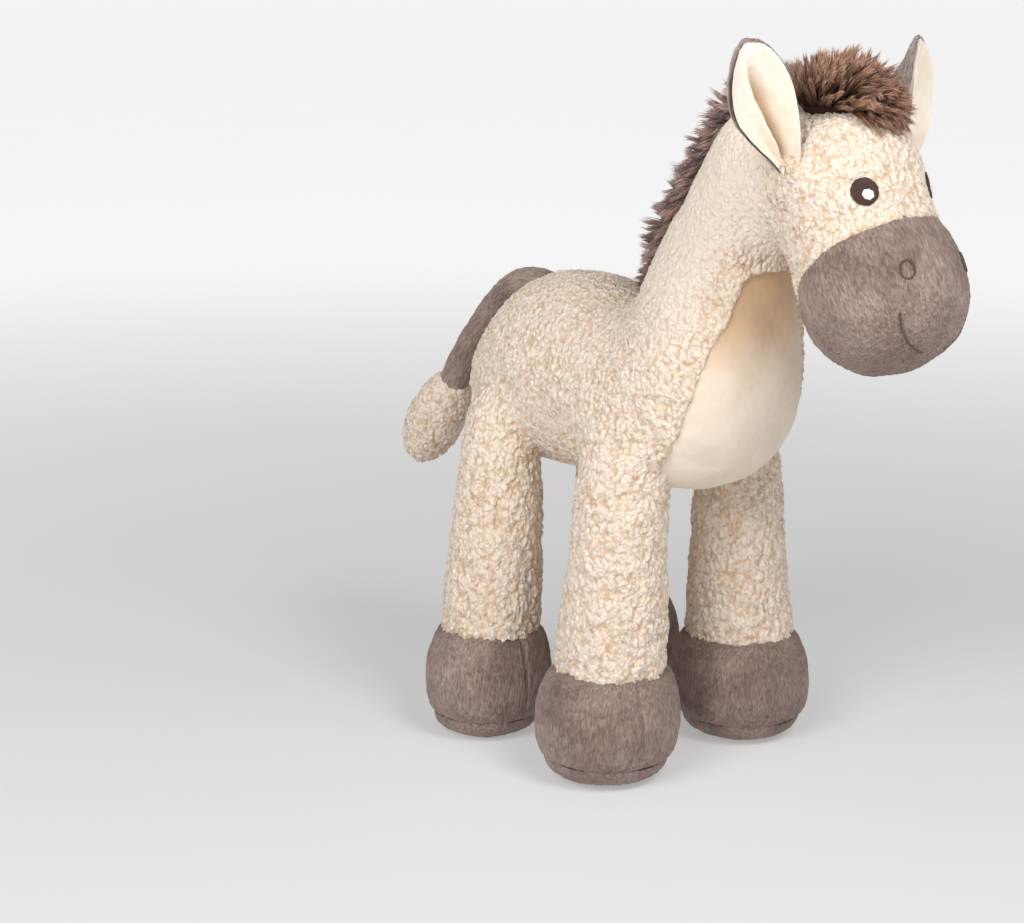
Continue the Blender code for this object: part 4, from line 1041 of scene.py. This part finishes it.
def locks(name, roots, normals, lays, lengths, lock_size, width, material, spread, seed, shade=0.0):
    """Strands gathered in locks. Each takes the lock that is nearest its root, and its tip is the lock's own, a
    strand's length along the lock's direction, plus 0.22 of how far its root is from the lock's."""
    draw = np.random.default_rng(seed)
    count = len(roots)
    heads = draw.choice(count, max(8, int(count / lock_size)), replace=False)
    own = (roots[heads] ** 2).sum(1)
    lock = np.concatenate([np.argmin(own[None] - 2 * roots[low:low + 2000] @ roots[heads].T, axis=1)
                           for low in range(0, count, 2000)])
    sway = draw.normal(0, spread, (len(heads), 3))
    direction = unit(lays[heads] + sway)
    scale = draw.uniform(0.72, 1.15, len(heads))
    own_length = lengths * scale[lock] * draw.uniform(0.72, 1.05, count)
    offset = roots - roots[heads][lock]
    tips = roots[heads][lock] + 0.22 * offset + own_length[:, None] * direction[lock]
    tips += draw.normal(0, 0.0007, (count, 3))
    controls = roots + 0.30 * own_length[:, None] * normals + 0.35 * own_length[:, None] * direction[lock]
    controls += draw.normal(0, 0.0006, (count, 3))
    tones = np.clip(0.5 - shade + draw.normal(0, 0.22, len(heads))[lock] + draw.normal(0, 0.20, count), 0, 1)
    points, faces, tip, tone = strands(roots, controls, tips, width * draw.uniform(0.7, 1.25, count), tones)
    return mesh_piece(name, points, faces, material, {"tip": tip, "tone": tone})


def crest_rows():
    """The mane's strip, from the withers to behind the ears, as places at even steps along the body form's top
    line: centre, the way along, outward direction, share of the rise."""
    points, _, _ = body_grid(8, 0.002)
    crest = points[:, 0]
    way = np.concatenate([[0], np.cumsum(np.linalg.norm(np.diff(crest, axis=0), axis=1))])
    start = np.argmin(np.linalg.norm(crest - on_body(0.165, 0.79), axis=1))
    end = np.argmin(np.linalg.norm(crest - (NECK_TOP + NECK_BALL_RADIUS * turned(NECK_LEAN + 0.15)), axis=1))
    count = 90
    places = np.linspace(way[start], way[end], count)
    line = np.column_stack([np.interp(places, way, crest[:, k]) for k in range(3)])
    run = unit(np.gradient(line, axis=0))
    outwards = np.column_stack([-run[:, 2], 0 * run[:, 0], run[:, 0]])
    share = np.interp(np.linspace(0, 1, count), np.linspace(0, 1, len(MANE_RISE_SHARES)), MANE_RISE_SHARES)
    return line, run, outwards, share


def make_mane():
    """A backing of rings along the crest, and strands rooted over an arc across it. They stand along the arc's
    own direction, swept down the neck, and at the sides they lie down over the sherpa."""
    line, run, outwards, share = crest_rows()
    rise = share * MANE_RISE * 0.42
    middle = line + (rise - MANE_SINK)[:, None] / 2 * outwards
    half = (rise + MANE_SINK)[:, None] / 2 * outwards
    rows = np.column_stack([middle, half[:, 0], half[:, 2], np.sqrt(share) * MANE_HALF_WIDTH * 0.8, 0 * share])
    flat, out, faces = surface(rings(ends_closed(rows, 6), 40))
    flat = flat + 0.0006 * drift(flat, 0.004, 61)[:, None] * out
    backing = mesh_piece("mane_backing", flat, faces, MANE_PILE,
                         {"tip": np.full(len(flat), 0.12), "tone": np.full(len(flat), 0.5)})
    declare(backing, ("mane",), blend=NECK_BEND)

    for number, (name, seed) in enumerate((("mane_pile_right", 1), ("mane_pile_left", 2))):
        draw = np.random.default_rng(40 + seed)
        count = MANE_STRANDS
        place = draw.uniform(0, 1, count) * (len(line) - 1)
        side = (1 if number else -1) * draw.uniform(-0.15, 1.0, count)
        angle = side * 1.62
        grid = np.arange(len(line))

        def at_place(values):
            """The strip's values at each strand's place along it."""
            return np.column_stack([np.interp(place, grid, values[:, k]) for k in range(3)])

        spot, along, away = at_place(line), at_place(run), at_place(outwards)
        size = np.interp(place, grid, share)
        normal = np.cos(angle)[:, None] * away + np.sin(angle)[:, None] * ACROSS
        root = spot + (np.sqrt(size) * MANE_HALF_WIDTH * 1.30 * np.sin(angle))[:, None] * ACROSS
        root += (size * MANE_RISE * 0.36 * np.cos(angle) - 0.0015 - 0.0026 * np.sin(angle) ** 4)[:, None] * away
        lay = unit(0.60 * normal + (0.80 - 1.05 * np.abs(side))[:, None] * away - 0.40 * along)
        length = 0.0066 + 0.0082 * size
        pile = locks(name, root, normal, lay, length, MANE_LOCK, MANE_STRAND_WIDTH, MANE_PILE, 0.20, 70 + seed)
        declare(pile, (), blend=NECK_BEND)


def make_forelock():
    """A tuft over the crown between the ears. Its roots lie on an oval cap, and each strand stands along the
    cap's normal, brushed away from a parting, drooping at the front and short in the hollow behind."""
    centre = HEAD_CENTRE + HEAD_RADIUS * np.array((-0.051, 0, 0.937))
    sizes = np.array(FORELOCK_HALF_SIZES)
    rows = []
    for angle in np.linspace(-QUARTER_TURN, QUARTER_TURN, 40):
        reach = 0.64 * sizes[0] * math.sin(angle)
        size = math.cos(angle)
        rows.append((centre[0] + reach, 0, centre[2] - 0.003, 0, 0.54 * sizes[2] * size, 0.68 * sizes[1] * size, 0))
    flat, _, faces = surface(rings(np.array(rows), 48))
    backing = mesh_piece("forelock_backing", flat, faces, FORELOCK_PILE,
                         {"tip": np.full(len(flat), 0.05), "tone": np.full(len(flat), 0.4)})
    declare(backing, ("forelock",), "head")
    for name, seed, low, high in (("forelock_pile_right", 3, -1.25, 0.1), ("forelock_pile_left", 4, -0.1, 1.25)):
        draw = np.random.default_rng(40 + seed)
        count = FORELOCK_STRANDS
        turn = draw.uniform(low, high, count)
        tilt = np.arcsin(draw.uniform(-0.98, 0.98, count))
        normal = np.column_stack([np.sin(tilt), np.cos(tilt) * np.sin(turn), np.cos(tilt) * np.cos(turn)])
        root = centre - (0, 0, 0.003) + normal * (0.62, 0.66, 0.53) * sizes
        parting = np.column_stack([np.full(count, -0.35), 0.85 * np.tanh(3 * normal[:, 1]), np.full(count, -0.25)])
        brushed = (normal * parting).sum(1, keepdims=True) * normal - parting
        brushed /= np.linalg.norm(brushed, axis=1, keepdims=True) + 0.3
        droop = 0.60 * np.clip(normal[:, :1], 0, 1)
        lay = unit(0.72 * normal + 0.62 * brushed + 0.15 * AHEAD - droop * UPWARDS)
        hollow = step_up(0.35, 0.95, (normal * parting).sum(1) / np.linalg.norm(parting, axis=1))
        length = (0.0165 + 0.0030 * np.clip(normal[:, 2], 0, 1)) * (1 - 0.45 * hollow)
        pile = locks(name, root, normal, lay, length, FORELOCK_LOCK, FORELOCK_STRAND_WIDTH, FORELOCK_PILE, 0.26,
                     90 + seed, 0.40 * hollow)
        declare(pile, (), "head")


# Face

def face_direction(turn, tilt, side):
    """The direction turned from the nose's towards a side and tilted up."""
    return np.array((math.cos(tilt) * math.cos(turn), side * math.cos(tilt) * math.sin(turn), math.sin(tilt)))


def on_head(middle, directions, lift):
    """Where lines from inside the head meet its form: the form's radius at that place along the axis, by turns."""
    shares = np.array(HEAD_STATION_SHARES)
    profile = through(shares, 30, shares[1] * (1, -1), shares[-2] * (1, -1))
    reach = np.full(len(directions), HEAD_RADIUS)
    for _ in range(30):
        spot = middle + reach[:, None] * directions
        along = (spot - CROWN) @ HEAD_AXIS
        radial = np.linalg.norm(spot - CROWN - along[:, None] * HEAD_AXIS, axis=1)
        wanted = np.interp(along / HEAD_LENGTH, profile[:, 0], profile[:, 1]) * HEAD_RADIUS
        reach = reach + 0.7 * (wanted - radial)
    return middle + (reach + lift)[:, None] * directions


def stitched_disc(name, middle, direction, radius, base, crown, material, nodes, lean, wave):
    """A domed disc of satin stitches: crown . sqrt(1 - r^2) over the base, ridged across the stitches."""
    rounds, columns = 34, 120
    share = np.linspace(0, 1, rounds)[:, None]
    t = np.arange(columns)[None] * (2 * math.pi / columns)
    edge = radius * (1 + wave * (np.sin(2 * t + 1) + 0.7 * np.sin(7 * t + 2) + 0.5 * np.sin(16 * t)))
    first = unit(np.cross(direction, UPWARDS))
    second = np.cross(first, direction)
    u, v = share * edge * np.cos(t), share * edge * np.sin(t)
    over = middle + reach_of(middle, direction) * direction
    spots = over + u[..., None] * first + v[..., None] * second
    lines = unit(spots.reshape(-1, 3) - middle)
    across = (u * math.cos(lean) + v * math.sin(lean)).ravel()
    ridge = 0.00014 * np.abs(np.sin(math.pi * across / 0.00062))
    lift = base + crown * np.sqrt(np.clip(1 - share ** 2, 0, 1)).repeat(columns, 1).ravel() + ridge
    rim = np.repeat(share, columns, 1).ravel() > 0.999
    lift = np.where(rim, base - 0.0018, lift)
    front = on_head(middle, lines, lift).reshape(rounds, columns, 3)
    back = on_head(middle, lines, base - 0.0022 + 0 * lift).reshape(rounds, columns, 3)[::-1]
    points = np.concatenate([front, back])
    flat = points.reshape(-1, 3)
    out = normals_of(points).reshape(-1, 3)
    out[:rounds * columns] = direction
    out[rounds * columns:] = -direction
    made = mesh_piece(name, flat, outward(flat, out, grid_faces(*points.shape[:2])), material)
    return declare(made, nodes, "head")


def reach_of(middle, direction):
    """How far the head's form is from a point inside it, in one direction."""
    return float(np.linalg.norm(on_head(middle, direction[None], 0.0)[0] - middle))


def thread_tube(name, path, radius, stitch, material, nodes, closed, out):
    """A stitched line: a tube along the path, drawn in between stitches by 1 - 0.38 . |cos|^7 of the way along."""
    way = np.concatenate([[0], np.cumsum(np.linalg.norm(np.diff(path, axis=0), axis=1))])
    run = np.gradient(path, axis=0) if not closed else np.roll(path, -1, 0) - np.roll(path, 1, 0)
    run = unit(run)
    side = unit(np.cross(run, out))
    lift = np.cross(side, run)
    size = radius * (1 - 0.38 * np.abs(np.cos(math.pi * way / stitch)) ** 7)
    t = np.arange(10) * (2 * math.pi / 10)
    points = (path[:, None] + (size[:, None] * np.cos(t))[..., None] * side[:, None]
              + (0.8 * size[:, None] * np.sin(t))[..., None] * lift[:, None])
    if closed:
        points = np.concatenate([points, points[:1]])
    else:
        points = np.concatenate([path[:1, None].repeat(10, 1), points, path[-1:, None].repeat(10, 1)])
    flat = points.reshape(-1, 3)
    centre = np.concatenate([path, path[:1]]) if closed else np.concatenate([path[:1], path, path[-1:]])
    away = (points - centre[:, None]).reshape(-1, 3)
    faces = outward(flat, away, grid_faces(*points.shape[:2]))
    made = mesh_piece(name, flat, faces, material)
    return declare(made, nodes, "head")


def make_face():
    """Eyes with their highlights, nostril rings, and the mouth. The mouth's turn goes evenly from side to side,
    and it hangs below its ends by the root of 1 - share^2."""
    for name, side in SIDES:
        gaze = face_direction(*EYE_TURNS, side)
        stitched_disc("eye_thread_" + name, HEAD_CENTRE, gaze, EYE_RADIUS, 0.0003, 0.0007, BROWN_THREAD,
                      ("eye_" + name,), 0.5, 0.02)
        turn = EYE_TURNS[0]
        shift = 0.0019 * np.array((math.sin(turn), -side * math.cos(turn), -1.0)) / math.sqrt(2)
        stitched_disc("eye_highlight_thread_" + name, HEAD_CENTRE, unit(gaze + shift / HEAD_RADIUS),
                      HIGHLIGHT_RADIUS, 0.0008, 0.0007, WHITE_THREAD, ("eye_highlight_" + name,),
                      1.9, 0.08)
        sniff = face_direction(*NOSTRIL_TURNS, side)
        first = unit(np.cross(sniff, UPWARDS))
        second = np.cross(first, sniff)
        t = np.linspace(0, 2 * math.pi, 160, endpoint=False)
        middle = MUZZLE_CENTRE + reach_of(MUZZLE_CENTRE, sniff) * sniff
        ring = middle + NOSTRIL_RADIUS * (0.86 * np.cos(t)[:, None] * first + 1.08 * np.sin(t)[:, None] * second)
        lines = unit(ring - MUZZLE_CENTRE)
        ring = on_head(MUZZLE_CENTRE, lines, 0.0010)
        thread_tube("nostril_thread_" + name, ring, 0.00078, 0.0016, LINE_THREAD, ("nostril_" + name,), True, lines)
    share = np.linspace(-1, 1, 240)
    turn, tilt = MOUTH_HALF_SPAN * share, -MOUTH_ENDS_BELOW - MOUTH_DEPTH * np.sqrt(1 - share ** 2)
    lines = np.column_stack([np.cos(tilt) * np.cos(turn), np.cos(tilt) * np.sin(turn), np.sin(tilt)])
    path = on_head(MUZZLE_CENTRE, lines, 0.0013)
    way = np.concatenate([[0], np.cumsum(np.linalg.norm(np.diff(path, axis=0), axis=1))])
    places = np.linspace(0, way[-1], 240)
    path = np.column_stack([np.interp(places, way, path[:, k]) for k in range(3)])
    lines = np.column_stack([np.interp(places, way, lines[:, k]) for k in range(3)])
    thread_tube("mouth_thread", path, 0.00065, 0.0022, LINE_THREAD, ("mouth",), False, lines)


# Studio

def aimed(thing, place, look, roll=0.0):
    """Puts a camera or lamp at a place, looking along a direction, with its picture turned by the roll."""
    look = unit(look)
    right = unit(np.cross(look, UPWARDS))
    up = np.cross(right, look)
    right, up = (math.cos(roll) * right + math.sin(roll) * up, math.cos(roll) * up - math.sin(roll) * right)
    axes = np.column_stack([right, up, -look, np.array(place, float)])
    thing.matrix_world = Matrix(axes.tolist() + [(0, 0, 0, 1)])


def make_studio():
    """Camera, pale floor that glows more with distance, a sky that darkens upwards, and two area lamps."""
    camera = placed("camera", bpy.data.cameras.new("camera"))
    place = np.array((math.sin(CAMERA_TURN) * CAMERA_AWAY, -math.cos(CAMERA_TURN) * CAMERA_AWAY, CAMERA_HEIGHT))
    aimed(camera, place, np.array((0, 0, LOOK_HEIGHT)) - place, CAMERA_ROLL)
    camera.data.sensor_width = SENSOR_WIDTH
    camera.data.lens = LENS_PIXELS / PICTURE_WIDTH * SENSOR_WIDTH
    camera.data.shift_x = (PICTURE_WIDTH / 2 - CENTRE_ACROSS) / PICTURE_WIDTH
    camera.data.shift_y = (CENTRE_DOWN - PICTURE_HEIGHT / 2) / PICTURE_WIDTH
    camera.data.clip_start = 0.01
    bpy.context.scene.camera = camera

    floor_mesh = bpy.data.meshes.new("floor")
    far = 40
    floor_mesh.from_pydata([(-far, -far, 0), (far, -far, 0), (far, far, 0), (-far, far, 0)], [], [(0, 1, 2, 3)])
    material, tree, shader, add = finish("pale_floor", 0.9)
    place = add("ShaderNodeTexCoord").outputs["Object"]
    tree.links.new(ramp(add, noise(add, place, 3), ((0.3, (0.49,) * 3), (0.7, (0.51,) * 3))),
                   shader.inputs["Base Color"])
    shader.inputs["Emission Color"].default_value = (1, 1, 1, 1)
    away = add("ShaderNodeVectorMath", {"operation": "LENGTH"}, i0=place).outputs["Value"]
    glow = add("ShaderNodeMapRange", {"interpolation_type": "SMOOTHSTEP"}, Value=away, From_Min=0.1, From_Max=2.0,
               To_Min=0.33, To_Max=0.80)
    tree.links.new(glow.outputs["Result"], shader.inputs["Emission Strength"])
    floor_mesh.materials.append(material)
    placed("floor", floor_mesh)

    world = bpy.data.worlds.new("studio")
    world.use_nodes = True
    sky = world.node_tree
    towards = sky.nodes.new("ShaderNodeTexCoord").outputs["Generated"]
    height = sky.nodes.new("ShaderNodeSeparateXYZ")
    fade = sky.nodes.new("ShaderNodeValToRGB")
    sky.links.new(towards, height.inputs["Vector"])
    sky.links.new(height.outputs["Z"], fade.inputs["Fac"])
    for element, up_at, grey_level in zip(fade.color_ramp.elements, (0.02, 0.16), (0.90, 0.17)):
        element.position = up_at
        element.color = (grey_level, grey_level, grey_level, 1)
    sky.links.new(fade.outputs["Color"], sky.nodes["Background"].inputs["Color"])
    bpy.context.scene.world = world
    for name, where, size, power in (("key_light", (0.86, -0.18, 1.08), 0.50, 8.2),
                                     ("fill_light", (0.36, -1.12, 0.86), 0.70, 10.2)):
        lamp = bpy.data.lights.new(name, "AREA")
        lamp.size = size
        lamp.energy = power
        aimed(placed(name, lamp), where, np.array((0, 0, 0.2)) - where)
    bpy.context.scene.view_settings.view_transform = "Standard"


make_studio()
make_body()
make_head()
for leg_place in LEGS:
    make_leg(leg_place)
make_tail()
for ear_name, ear_side in SIDES:
    make_ear(ear_name, ear_side)
make_mane()
make_forelock()
make_face()
